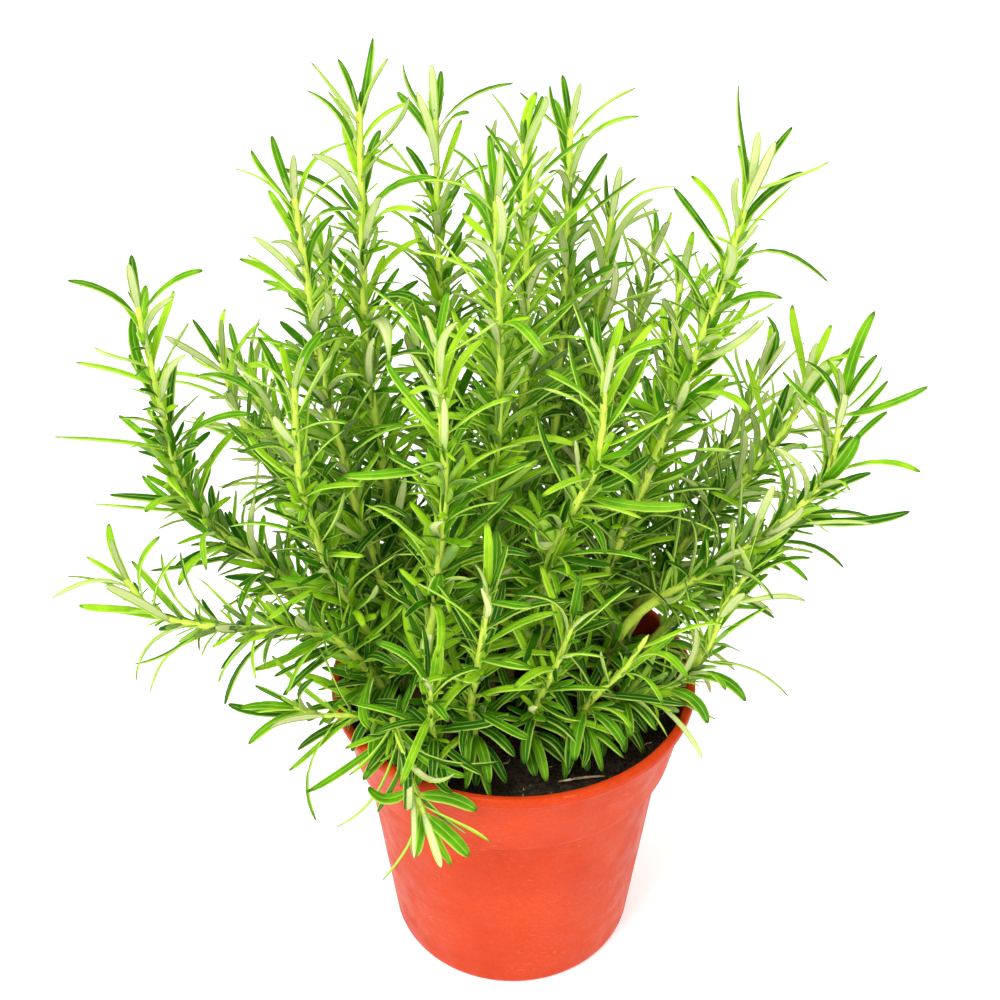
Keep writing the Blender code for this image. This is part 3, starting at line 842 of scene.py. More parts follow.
@dataclass
class Soil:
    """Uneven peat that fills the pot to a thumb's width under the rim."""

    pot: Pot
    top: float = 101.0 * MM
    bump: float = 1.4 * MM
    bump_pitch: float = 14.0 * MM
    gap: float = 0.3 * MM
    level_edge: float = 10.0 * MM
    lump: float = 0.75 * MM
    lump_pitch: float = 5.0 * MM
    settled: float = 0.35 * MM
    rings: int = 64
    sides: int = 180
    crumbs: int = 1500
    coarse_crumb: float = 0.8 * MM
    fibres: int = 16
    fibre_points: int = 7
    fibre_step: float = 0.8 * MM
    fibre_lift: float = 0.35 * MM
    finish: PeatFinish = field(default_factory=PeatFinish)
    fibre_finish: StrawFinish = field(default_factory=StrawFinish)

    def height(self, x: float, y: float) -> float:
        """Height of the smooth soil surface.

        Args:
            x: Distance to the right of the axis.
            y: Distance behind the axis.

        Returns:
            The height.
        """
        fade = clamped((self.pot.collar_top_radius - math.hypot(x, y)) / self.level_edge)
        bump = noise.noise(Vector((x, y, 0.0)) / self.bump_pitch)
        return self.top + self.bump * bump * fade

    def surface(self, x: float, y: float) -> float:
        """Height of the crumbly soil surface."""
        lumps = noise.fractal(Vector((x, y, 0.0)) / self.lump_pitch, 0.9, 2.1, 4)
        return self.height(x, y) + self.lump * lumps - self.settled

    @property
    def radius(self) -> float:
        """Radius of the soil where it meets the pot."""
        return self.pot.inner_radius(self.top) - self.gap

    def build(self) -> list[bpy.types.Object]:
        """Make the bed, its crumbs and its fibres.

        Returns:
            The pieces.
        """
        material = self.finish.material()
        return [self.build_bed(material), self.build_crumbs(material), self.build_fibres()]

    def build_bed(self, material: bpy.types.Material) -> bpy.types.Object:
        """Closed block of soil with a crumbly top."""
        pot, gap = self.pot, self.gap
        top = [(self.radius * step / self.rings, self.top) for step in range(self.rings + 1)]
        side = [
            (pot.collar_bottom_radius - pot.wall - gap, pot.collar_bottom + pot.step_above),
            (pot.wall_top_radius - pot.wall - gap, pot.collar_bottom - pot.step_below),
            (pot.base_radius - pot.wall - gap, pot.floor_top + pot.floor_fillet + gap),
            (pot.base_radius - pot.wall - pot.floor_fillet - gap, pot.floor_top + gap),
            (0.0, pot.floor_top + gap),
        ]
        mesh = turned_mesh("soil_bed", top + side, self.sides)
        for vertex in mesh.vertices:
            if vertex.co.z > self.top - 0.1 * MM:
                vertex.co.z = self.surface(vertex.co.x, vertex.co.y)
        return add_piece("soil_bed", mesh, material, Slot.SOIL, ("potting_soil",))

    def build_crumbs(self, material: bpy.types.Material) -> bpy.types.Object:
        """Loose lumps of peat, half sunk in the bed."""
        rng = random.Random("crumbs")
        made = bmesh.new()
        for _ in range(self.crumbs):
            size = rng.uniform(0.35, 0.8) * MM * (1.0 + 1.9 * rng.random() ** 5)
            distance = math.sqrt(rng.random()) * (self.radius - size - 0.5 * MM)
            angle = rng.uniform(0.0, math.tau)
            x, y = distance * math.cos(angle), distance * math.sin(angle)
            spot = Vector((x, y, self.surface(x, y) + size * 0.25))
            turn = rng.uniform(0.0, math.tau)
            spin = Matrix.Rotation(turn, 4, Vector((rng.random(), rng.random(), 0.3)))
            squash = Matrix.Diagonal((1.0, rng.uniform(0.6, 1.0), rng.uniform(0.45, 0.8), 1.0))
            lump = bmesh.ops.create_icosphere(
                made,
                subdivisions=2 if size > self.coarse_crumb else 1,
                radius=size,
                matrix=Matrix.Translation(spot) @ spin @ squash,
            )
            for vertex in lump["verts"]:
                push = noise.noise(vertex.co / (size * 1.3)) * 0.45
                vertex.co = spot + (vertex.co - spot) * (1.0 + push)
        return add_piece("soil_crumbs", finished(made, "soil_crumbs"), material, Slot.SOIL)

    def build_fibres(self) -> bpy.types.Object:
        """Short brown root fibres scattered on the bed."""
        rng = random.Random("fibres")
        tubes = TubeMesh(sides=5)
        for _ in range(self.fibres):
            distance = math.sqrt(rng.random()) * (self.radius - 5.0 * MM)
            angle = rng.uniform(0.0, math.tau)
            x, y = distance * math.cos(angle), distance * math.sin(angle)
            heading, turn = rng.uniform(0.0, math.tau), rng.uniform(-0.5, 0.5)
            points: list[Vector] = []
            for _ in range(self.fibre_points):
                points.append(Vector((x, y, self.surface(x, y) + self.fibre_lift)))
                x += math.cos(heading) * self.fibre_step
                y += math.sin(heading) * self.fibre_step
                heading += turn
                if math.hypot(x, y) > self.radius - 1.0 * MM:
                    break
            if len(points) > 3:
                tubes.add(points, [rng.uniform(0.10, 0.22) * MM] * len(points))
        material = self.fibre_finish.material()
        return add_piece("soil_fibres", tubes.mesh("soil_fibres"), material, Slot.STRAW)


class TubeMesh:
    """Collects closed round tubes in one mesh."""

    def __init__(self, sides: int) -> None:
        """Start without tubes.

        Args:
            sides: Sides of every tube.
        """
        self.sides = sides
        self.points: list[Vector] = []
        self.faces: list[tuple[int, ...]] = []

    def add(self, path: Sequence[Vector], radii: Sequence[float]) -> None:
        """Add one tube.

        Args:
            path: Points along the middle.
            radii: Radius at each point.
        """
        first = len(self.points)
        count = self.sides
        side = (path[1] - path[0]).orthogonal().normalized()
        for index, point in enumerate(path):
            ahead = path[min(index + 1, len(path) - 1)] - path[max(index - 1, 0)]
            ahead.normalize()
            side = (side - ahead * side.dot(ahead)).normalized()
            other = ahead.cross(side)
            for step in range(count):
                angle = math.tau * step / count
                away = side * math.cos(angle) + other * math.sin(angle)
                self.points.append(point + away * radii[index])
        for index in range(len(path) - 1):
            low = first + index * count
            high = low + count
            for step in range(count):
                after = (step + 1) % count
                self.faces.append((low + step, low + after, high + after, high + step))
        self.faces.append(tuple(first + step for step in reversed(range(count))))
        last = first + (len(path) - 1) * count
        self.faces.append(tuple(last + step for step in range(count)))

    def mesh(self, name: str) -> bpy.types.Mesh:
        """Mesh of every tube."""
        made = bpy.data.meshes.new(name)
        made.from_pydata([tuple(point) for point in self.points], [], self.faces)
        return made


@dataclass
class Straw:
    """Dry straw that lies on the soil in front."""

    soil: Soil
    thickness: float = 0.9 * MM
    lift: float = 0.75 * MM
    steps: int = 30
    path: tuple[tuple[float, float], ...] = ((14, -44), (19, -43), (24, -42.5), (30, -41.5))
    finish: StrawFinish = field(default_factory=StrawFinish)

    def build(self) -> bpy.types.Object:
        """Draw the straw with ragged, thinner ends.

        Returns:
            The straw.
        """
        points: list[Vector] = []
        radii: list[float] = []
        for step in range(self.steps + 1):
            share = step / self.steps
            along = share * (len(self.path) - 1)
            index = min(int(along), len(self.path) - 2)
            (x0, y0), (x1, y1) = self.path[index], self.path[index + 1]
            part = along - index
            x, y = (x0 + (x1 - x0) * part) * MM, (y0 + (y1 - y0) * part) * MM
            rise = self.thickness / 2 + self.lift
            points.append(Vector((x, y, self.soil.height(x, y) + rise)))
            taper = 0.35 + 0.65 * math.sin(math.pi * share) ** 0.4
            radii.append(self.thickness / 2 * taper * (1.0 + 0.12 * math.sin(share * 31.0)))
        tube = TubeMesh(sides=8)
        tube.add(points, radii)
        material = self.finish.material()
        return add_piece("straw_stalk", tube.mesh("straw_stalk"), material, Slot.STRAW, ("straw",))


# --------------------------------------------------------------------------
# Growth, by the same rules that place the frame's leaves
# --------------------------------------------------------------------------


@dataclass
class Leaf:
    """One narrow leaf: where it leaves the stem and how it runs."""

    base: Vector
    along: Vector
    upper: Vector
    outer: Vector
    length: float
    width: float
    thickness: float = 1.0 * MM

    @property
    def across(self) -> Vector:
        """Direction of the leaf's width."""
        return self.along.cross(self.upper).normalized()

    @property
    def middle(self) -> Vector:
        """Point where the leaf is widest and bends."""
        return self.base + self.along * self.length * 0.5

    @property
    def tip(self) -> Vector:
        """Point at the end of the leaf."""
        return self.middle + self.outer * self.length * 0.5

    def clearance_tree(self, margin: float) -> BVHTree:
        """Closed box around the leaf, wider than the leaf by the margin.

        Args:
            margin: Clearance to keep.

        Returns:
            A search tree of the box.
        """
        side = self.across * (self.width / 2 + margin)
        over = self.upper * margin
        under = self.upper * (self.thickness + margin)
        end = self.tip + self.outer * margin
        points = []
        for centre, share in ((self.base, 0.8), (self.middle, 1.0), (end, 0.4)):
            points += [
                centre + side * share + over,
                centre - side * share + over,
                centre - side * share - under,
                centre + side * share - under,
            ]
        faces = [(0, 1, 2, 3), (8, 9, 10, 11)]
        for first in (0, 4):
            for corner in range(4):
                after = (corner + 1) % 4
                faces.append((first + corner, first + after, first + 4 + after, first + 4 + corner))
        return BVHTree.FromPolygons(points, faces)


class Neighbours:
    """Everything already grown, kept as small closed shapes.

    Shapes whose middles are further apart than REACH can't touch.
    """

    REACH = 45.0 * MM

    def __init__(self) -> None:
        """Start with nothing grown."""
        self.items: list[tuple[Vector, BVHTree, str]] = []

    def add(self, centre: Vector, tree: BVHTree, owner: str) -> None:
        """Remember one grown shape.

        Args:
            centre: Its middle.
            tree: Its search tree.
            owner: Name of the shoot, or of the shoot's stem.
        """
        self.items.append((centre, tree, owner))

    def touch(self, centre: Vector, tree: BVHTree, owner: str) -> bool:
        """Tell whether a shape meets anything grown, but for its own stem.

        Args:
            centre: Middle of the shape.
            tree: Its search tree.
            owner: Name of its shoot.

        Returns:
            True where it meets something.
        """
        for other_centre, other_tree, other_owner in self.items:
            if other_owner == owner + " stem":
                continue
            if (centre - other_centre).length > self.REACH:
                continue
            if tree.overlap(other_tree):
                return True
        return False


@dataclass
class GrowthRules:
    """Sizes that every shoot shares."""

    soil_top: float = 101.0 * MM
    planting_depth: float = 13.0 * MM
    side_at_soil: float = 3.0 * MM
    side_at_tip: float = 1.5 * MM
    collar_above_soil: float = 8.0 * MM
    first_leaves_at: float = 20.0 * MM
    leaf_spacing: float = 12.0 * MM
    leaf_base_height: float = 2.0 * MM
    leaf_length: float = 31.0 * MM
    leaf_width: float = 3.7 * MM
    leaf_clearance: float = 0.35 * MM
    pot_clearance: float = 0.8 * MM
    bare_tip: float = 3.0 * MM
    curve_steps: int = 12

    @staticmethod
    def size_at(share: float) -> float:
        """Size of a leaf at a share of the way up: largest about halfway."""
        return 0.78 + 0.5 * share - 0.52 * share * share


class Shoot:
    """One rooted stem with its pairs of leaves."""

    def __init__(self, name: str, points: tuple, rules: GrowthRules) -> None:
        """Lay the stem through its points.

        Args:
            name: Name of the shoot, which is also its CAD node.
            points: Path in millimetres, the first on the soil.
            rules: Shared sizes.
        """
        self.name = name
        self.rules = rules
        root = Vector((points[0][0], points[0][1], rules.soil_top / MM))
        foot = root - Vector((0.0, 0.0, rules.planting_depth / MM))
        path = [foot, root] + [Vector(point) for point in points[1:]]
        self.path = [point * MM for point in path]
        self.random = random.Random(name)
        self.stations = self.smooth_path()
        self.length = self.stations[-1][0]
        self.leaves: dict[tuple[int, int], Leaf] = {}
        self.wobble = (0.0, 0.0, 0.0)
        self.turn = random.Random(name + " turn").uniform(0.0, math.pi / 2)
        self.sides = self.carry_side()

    def smooth_path(self) -> list[tuple[float, Vector, Vector]]:
        """Smooth curve through the path.

        Returns:
            Distance above the soil, point and direction of each station.
        """
        points = self.path
        ends = [points[0] * 2 - points[1]] + points + [points[-1] * 2 - points[-2]]
        samples = []
        for index in range(1, len(ends) - 2):
            before, start, end, after = ends[index - 1 : index + 3]
            for step in range(self.rules.curve_steps):
                t = step / self.rules.curve_steps
                run = (end - before) * t
                bend = (before * 2 - start * 5 + end * 4 - after) * t * t
                twist = (start * 3 - before - end * 3 + after) * t * t * t
                samples.append(0.5 * (start * 2 + run + bend + twist))
        samples.append(points[-1].copy())
        stations = []
        travelled = -(points[1] - points[0]).length
        for index, point in enumerate(samples):
            if index:
                travelled += (point - samples[index - 1]).length
            ahead = samples[min(index + 1, len(samples) - 1)]
            behind = samples[max(index - 1, 0)]
            stations.append((travelled, point, (ahead - behind).normalized()))
        return stations

    def carry_side(self) -> list[Vector]:
        """Side direction of the square stem at every station."""
        side = Vector((1.0, 0.0, 0.0))
        side.rotate(Matrix.Rotation(self.turn, 3, "Z"))
        sides = []
        for station in self.stations:
            side = (side - station[2] * side.dot(station[2])).normalized()
            sides.append(side.copy())
        return sides

    def frame_at(self, distance: float) -> tuple[Vector, Vector, Vector, Vector]:
        """Where the stem is at a distance above the soil.

        Args:
            distance: Distance along the stem.

        Returns:
            Point, direction and two side directions.
        """
        last = len(self.stations) - 1
        place = next((i for i, s in enumerate(self.stations) if s[0] >= distance), last)
        station, previous = self.stations[place], self.stations[max(place - 1, 0)]
        side = self.sides[place]
        span = max(station[0] - previous[0], 1e-9)
        share = clamped((distance - previous[0]) / span)
        point = previous[1].lerp(station[1], share)
        tangent = previous[2].lerp(station[2], share).normalized()
        side = (side - tangent * side.dot(tangent)).normalized()
        return point, tangent, side, tangent.cross(side)

    def side_at(self, distance: float) -> float:
        """Width of the square stem."""
        thinner = self.rules.side_at_tip - self.rules.side_at_soil
        return self.rules.side_at_soil + thinner * clamped(distance / self.length)

    def share_near(self, point: Vector) -> float:
        """Share of the way up the shoot that is nearest to a point."""
        best = min(self.stations, key=lambda station: (station[1] - point).length_squared)
        return clamped(best[0] / self.length)

    def ring_at(self, distance: float) -> list[Vector]:
        """Four corners of the square stem.

        Args:
            distance: Distance along the stem.

        Returns:
            The corners.
        """
        point, _, side, other = self.frame_at(distance)
        half = self.side_at(distance) / 2
        corners = ((1, -1), (1, 1), (-1, 1), (-1, -1))
        return [point + side * half * a + other * half * b for a, b in corners]

    def node_distances(self) -> list[float]:
        """Where along the stem its leaf pairs sit."""
        first = min(self.rules.first_leaves_at, self.length * 0.3)
        last = self.length - self.rules.bare_tip
        count = max(2, round((last - first) / self.rules.leaf_spacing) + 1)
        return [first + (last - first) * index / (count - 1) for index in range(count)]

    def leaf_towards(self, distance: float, outward: Vector, attempt: Triple) -> Leaf:
        """Leaf that leaves the stem in a direction.

        Low leaves spread wide and droop; high leaves stand up along the stem.

        Args:
            distance: Distance along the stem.
            outward: Direction square to the stem.
            attempt: Extra spread, turn around the stem and share of length.

        Returns:
            The leaf.
        """
        point, tangent, _, _ = self.frame_at(distance)
        share = distance / self.length
        spread_extra, around, shorten = attempt
        spread = math.radians(82.0 - 50.0 * share**1.3 + spread_extra + self.wobble[0])
        outward = outward.copy()
        outward.rotate(Matrix.Rotation(math.radians(around + self.wobble[1]), 3, tangent))
        along = (tangent * math.cos(spread) + outward * math.sin(spread)).normalized()
        upper = (tangent * math.sin(spread) - outward * math.cos(spread)).normalized()
        droop = 0.34 * (1.0 - share) ** 1.5 - 0.12 * share
        outer = (along - upper * 0.18 * share + Vector((0.0, 0.0, -droop))).normalized()
        size = self.rules.size_at(share)
        length = self.rules.leaf_length * size * shorten * (1.0 + self.wobble[2])
        width = self.rules.leaf_width * (0.85 + 0.15 * shorten)
        base = point + outward * self.side_at(distance) / 2
        return Leaf(base, along, upper, outer, length, width)

    def grow(self, neighbours: Neighbours, walls: BVHTree) -> None:
        """Choose every leaf so that it clears the other leaves and the pot.

        Args:
            neighbours: What has grown so far.
            walls: Search tree of the pot, soil and straw.
        """
        for index, distance in enumerate(self.node_distances()):
            _, _, side, other = self.frame_at(distance)
            for face in (index % 2, index % 2 + 2):
                self.wobble = (
                    self.random.uniform(-8.0, 8.0),
                    self.random.uniform(-10.0, 10.0),
                    self.random.uniform(-0.12, 0.12),
                )
                outward = (side, other, -side, -other)[face]
                leaf = self.clear_leaf(distance, outward, neighbours, walls)
                if leaf is not None:
                    self.leaves[(index, face)] = leaf
                    neighbours.add(leaf.middle, leaf.clearance_tree(0.0), self.name)

    def clear_leaf(
        self, distance: float, outward: Vector, neighbours: Neighbours, walls: BVHTree
    ) -> Optional[Leaf]:
        """First leaf of the allowed turns and lengths that touches nothing.

        Args:
            distance: Distance along the stem.
            outward: Direction square to the stem.
            neighbours: What has grown so far.
            walls: Search tree of the pot, soil and straw.

        Returns:
            The leaf, or None where there is no room.
        """
        for attempt in LEAF_TRIES:
            leaf = self.leaf_towards(distance, outward, attempt)
            if leaf.clearance_tree(self.rules.pot_clearance).overlap(walls):
                continue
            room = leaf.clearance_tree(self.rules.leaf_clearance)
            if not neighbours.touch(leaf.middle, room, self.name):
                return leaf
        return None

    def ring_distances(self) -> list[float]:
        """Where the frame's stem has a ring, from its foot to its last leaves."""
        nodes = self.node_distances()
        distances = [self.stations[0][0], 0.0, min(self.rules.collar_above_soil, nodes[0] / 2)]
        half = self.rules.leaf_base_height / 2
        for distance in nodes:
            distances += [distance - half, distance + half]
        return distances

    def stem_trees(self) -> Iterator[tuple[Vector, BVHTree]]:
        """Closed lengths of the stem for the neighbours to clear."""
        rings = [self.ring_at(distance) for distance in self.ring_distances()]
        rings.append(self.ring_at(self.length + 1.0 * MM))
        for lower, upper in zip(rings, rings[1:]):
            faces = [(0, 1, 2, 3), (4, 5, 6, 7)]
            faces += [(i, (i + 1) % 4, 4 + (i + 1) % 4, 4 + i) for i in range(4)]
            yield sum(lower, Vector()) / 4, BVHTree.FromPolygons(lower + upper, faces)


def wall_tree(names: Sequence[str]) -> BVHTree:
    """One search tree over the surfaces of some CAD nodes.

    Args:
        names: Names of the nodes.

    Returns:
        The search tree.
    """
    points: list[Vector] = []
    faces: list[list[int]] = []
    for name in names:
        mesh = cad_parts[name].data
        first = len(points)
        points += [vertex.co.copy() for vertex in mesh.vertices]
        faces += [[first + index for index in face.vertices] for face in mesh.polygons]
    return BVHTree.FromPolygons(points, faces)


# --------------------------------------------------------------------------
# Leaf blades and stems as fine meshes
# --------------------------------------------------------------------------

# How far the curve of a blade runs past its heading at its foot and at its tip.
BOW = 0.5


class BladeCut(Enum):
    """How finely a leaf is meshed."""

    FULL = "full"
    SMALL = "small"


@dataclass
class Blade:
    """A leaf ready to be meshed, with its bends and its colouring."""

    leaf: Leaf
    cut: BladeCut
    youth: float
    tone: float
    twist: float = 0.0
    curl: float = 0.0
    sway: float = 0.0


class BladeTemplate:
    """Outline and rings that every blade of one cut shares."""

    FOOT_ENDS = 0.30
    END_STARTS = 0.60

    def __init__(self, section: Sequence[Triple], rings: Sequence[float]) -> None:
        """Prepare the outline, the widths and the faces.

        Args:
            section: Points around the blade as (across, up, underside).
            rings: Positions along the blade, without the tip.
        """
        shape = np.array(section)
        self.across, self.up, self.under = shape[:, 0], shape[:, 1], shape[:, 2]
        self.rings = np.array(rings)
        self.widths = np.array([self.width_at(t) for t in rings])
        self.sides = len(section)
        self.count = self.sides * len(rings) + 1
        self.faces: list[tuple[int, ...]] = []
        self.corners: list[tuple[float, float]] = []
        n, last = self.sides, len(rings) - 1
        self.add_face(tuple(reversed(range(n))), [(0.5, 0.0)] * n)
        for ring in range(last):
            low, high = rings[ring], rings[ring + 1]
            for side in range(n):
                after = (side + 1) % n
                a, b = ring * n, ring * n + n
                left, right = side / n, (side + 1) / n
                self.add_face(
                    (a + side, a + after, b + after, b + side),
                    [(left, low), (right, low), (right, high), (left, high)],
                )
        start, height = last * n, rings[last]
        for side in range(n):
            left, right = side / n, (side + 1) / n
            self.add_face(
                (start + side, start + (side + 1) % n, self.count - 1),
                [(left, height), (right, height), ((left + right) / 2, 1.0)],
            )

    def add_face(self, corners: tuple[int, ...], places: list[tuple[float, float]]) -> None:
        """Keep one face and the map places of its corners."""
        self.faces.append(corners)
        self.corners += places

    def width_at(self, t: float) -> float:
        """Share of the full width: narrow at the foot, then even, then rounded off."""
        foot = min(1.0, t / self.FOOT_ENDS)
        foot = 0.42 + 0.58 * foot * foot * (3 - 2 * foot)
        end = max(0.0, (t - self.END_STARTS) / (1.0 - self.END_STARTS))
        return foot * max(0.0, 1.0 - end**2.4) ** 0.52

    def points(self, blade: Blade) -> np.ndarray:
        """Points of one blade.

        Args:
            blade: The blade.

        Returns:
            Its points, ring by ring, then its tip.
        """
        leaf = blade.leaf
        along, outer = np.array(leaf.along), np.array(leaf.outer)
        upper, side = np.array(leaf.upper), np.array(leaf.across)
        t = np.append(self.rings, 1.0)[:, None]
        start = along * (1.0 + BOW) - outer * BOW
        end = outer * (1.0 + BOW) - along * BOW
        bend = upper * blade.curl + side * blade.sway
        run = start * t + (end - start) * t * t / 2 + bend * (t * t * t - t * t * 0.6)
        middle = np.array(leaf.base) + leaf.length * run
        heading = start + (end - start) * t + bend * (3 * t * t - 1.2 * t)
        heading /= np.linalg.norm(heading, axis=1)[:, None]
        over = upper - heading * (heading @ upper)[:, None]
        over /= np.linalg.norm(over, axis=1)[:, None]
        flank = np.cross(heading, over)
        angle = blade.twist * t
        turned_over = over * np.cos(angle) + flank * np.sin(angle)
        turned_flank = flank * np.cos(angle) - over * np.sin(angle)
        half = leaf.width / 2 * self.widths[:, None, None]
        body = (
            middle[:-1, None, :]
            + turned_flank[:-1, None, :] * self.across[None, :, None] * half
            + turned_over[:-1, None, :] * self.up[None, :, None] * half
        )
        return np.vstack([body.reshape(-1, 3), middle[-1:]])


class Foliage:
    """Collects the blades of one shoot in one mesh."""

    TEMPLATES = {
        BladeCut.FULL: BladeTemplate(
            (
                (-1.00, -0.10, 0.0),
                (-0.62, 0.16, 0.0),
                (-0.15, 0.14, 0.0),
                (0.00, 0.00, 0.0),
                (0.15, 0.14, 0.0),
                (0.62, 0.16, 0.0),
                (1.00, -0.10, 0.0),
                (0.84, -0.36, 0.55),
                (0.45, -0.14, 1.0),
                (0.00, -0.28, 1.0),
                (-0.45, -0.14, 1.0),
                (-0.84, -0.36, 0.55),
            ),
            (0.0, 0.07, 0.17, 0.30, 0.45, 0.60, 0.73, 0.84, 0.92, 0.975),
        ),
        BladeCut.SMALL: BladeTemplate(
            (
                (-1.00, -0.10, 0.0),
                (-0.42, 0.18, 0.0),
                (0.42, 0.18, 0.0),
                (1.00, -0.10, 0.0),
                (0.62, -0.36, 0.64),
                (-0.62, -0.36, 0.64),
            ),
            (0.0, 0.14, 0.38, 0.64, 0.86, 0.96),
        ),
    }

    def __init__(self) -> None:
        """Start without blades."""
        self.blades: list[Blade] = []

    def add(self, blade: Blade) -> None:
        """Add one blade."""
        self.blades.append(blade)

    def mesh(self, name: str) -> bpy.types.Mesh:
        """Mesh of every blade, with its colouring as attributes.

        Args:
            name: Name of the mesh.

        Returns:
            The mesh.
        """
        points: list[np.ndarray] = []
        keys = ("along", "edge", "under", "tone", "youth")
        traits: dict[str, list[np.ndarray]] = {key: [] for key in keys}
        faces: list[tuple[int, ...]] = []
        places: list[tuple[float, float]] = []
        columns = max(1, math.ceil(math.sqrt(len(self.blades) * 3.0)))
        rows = math.ceil(len(self.blades) / columns)
        first = 0
        for number, blade in enumerate(self.blades):
            template = self.TEMPLATES[blade.cut]
            points.append(template.points(blade))
            rings = len(template.rings)
            traits["along"].append(np.append(np.repeat(template.rings, template.sides), 1.0))
            traits["edge"].append(np.append(np.tile(np.abs(template.across), rings), 0.5))
            traits["under"].append(np.append(np.tile(template.under, rings), 0.3))
            traits["tone"].append(np.full(template.count, blade.tone))
            traits["youth"].append(np.full(template.count, blade.youth))
            faces += [tuple(first + corner for corner in face) for face in template.faces]
            column, row = number % columns, number // columns
            places += [
                ((column + 0.06 + u * 0.88) / columns, (row + 0.03 + v * 0.94) / rows)
                for u, v in template.corners
            ]
            first += template.count
        mesh = bpy.data.meshes.new(name)
        mesh.from_pydata(np.vstack(points).tolist(), [], faces)
        for key, values in traits.items():
            mark(mesh, key, np.concatenate(values).astype(np.float32))
        lay_out(mesh, places)
        return mesh


@dataclass
class StemBuilder:
    """Lofts a square stem with swollen joints, slimmer on a short shoot."""

    step: float = 2.2 * MM
    chamfer: float = 0.36
    girth: float = 1.1
    slim: float = 0.78
    slim_length: float = 50.0 * MM
    filling_out: float = 90.0 * MM
    swell: float = 0.16
    swell_reach: float = 1.3 * MM
    tip_length: float = 3.0 * MM

    def mesh(self, shoot: Shoot) -> bpy.types.Mesh:
        """Mesh of one stem.

        Args:
            shoot: The shoot.

        Returns:
            The mesh.
        """
        start = shoot.stations[0][0]
        count = max(8, round((shoot.length - start) / self.step))
        distances = [start + (shoot.length - start) * i / count for i in range(count + 1)]
        nodes = shoot.node_distances()
        inner = 1.0 - self.chamfer
        quarter = [(1, -inner), (1, inner), (inner, 1), (-inner, 1)]
        outline = quarter + [(-a, -b) for a, b in quarter]
        points: list[Vector] = []
        youth: list[float] = []
        n = len(outline)
        grown = clamped((shoot.length - self.slim_length) / self.filling_out)
        girth = self.slim + (self.girth - self.slim) * grown
        for distance in distances:
            point, _, side, other = shoot.frame_at(distance)
            nearest = min(abs(distance - node) for node in nodes)
            joint = 1.0 + self.swell * math.exp(-((nearest / self.swell_reach) ** 2))
            half = shoot.side_at(distance) / 2 * girth * joint
            points += [point + side * half * a + other * half * b for a, b in outline]
            youth += [self.youth_at(shoot, distance)] * n
        point, tangent, _, _ = shoot.frame_at(shoot.length)
        points.append(point + tangent * self.tip_length)
        youth.append(1.0)
        faces: list[tuple[int, ...]] = [tuple(reversed(range(n)))]
        places: list[tuple[float, float]] = [(0.5, 0.0)] * n
        rows = len(distances)
        for row in range(rows - 1):
            for i in range(n):
                j, low, high = (i + 1) % n, row * n, (row + 1) * n
                faces.append((low + i, low + j, high + j, high + i))
                v0, v1 = row / rows, (row + 1) / rows
                places += [(i / n, v0), ((i + 1) / n, v0), ((i + 1) / n, v1), (i / n, v1)]
        top, height = (rows - 1) * n, (rows - 1) / rows
        for i in range(n):
            faces.append((top + i, top + (i + 1) % n, len(points) - 1))
            places += [(i / n, height), ((i + 1) / n, height), ((i + 0.5) / n, 1.0)]
        mesh = bpy.data.meshes.new(shoot.name + "_stem")
        mesh.from_pydata([tuple(point) for point in points], [], faces)
        mark(mesh, "youth", youth)
        lay_out(mesh, places)
        return mesh

    @staticmethod
    def youth_at(shoot: Shoot, distance: float) -> float:
        """How young the stem is: 0 at the soil, 1 at the tip."""
        share = clamped(distance / shoot.length)
        return clamped(share * 0.55 + distance / (200.0 * MM) * 0.5)


class Face(Enum):
    """Which side of a leaf is turned up."""

    UPPER = "upper"
    UNDER = "under"


@dataclass(frozen=True)
class ChosenLeaf:
    """One listed leaf: where it leaves its shoot and how it runs.

    Its length and width are in millimetres.
    """

    shoot: str
    share: float
    heading: Triple
    outer: Triple
    length: float
    width: float
    face: Face = Face.UPPER
    tone: float = 0.5

    def leaf(self, shoot: Shoot) -> Leaf:
        """Leaf in the frame's axes.

        Args:
            shoot: The shoot that bears it.

        Returns:
            The leaf.
        """
        point, tangent, _, _ = shoot.frame_at(self.share * shoot.length)
        along = Vector(self.heading).normalized()
        steep = abs(along.z) >= 0.8
        upper = -tangent.cross(along).cross(along) if steep else Vector((0.0, -0.35, 1.0))
        upper = (upper - along * upper.dot(along)).normalized()
        if self.face is Face.UNDER:
            upper = -upper
        base, outer = point + along * 0.5 * MM, Vector(self.outer).normalized()
        return Leaf(base, along, upper, outer, self.length * MM, self.width * MM)


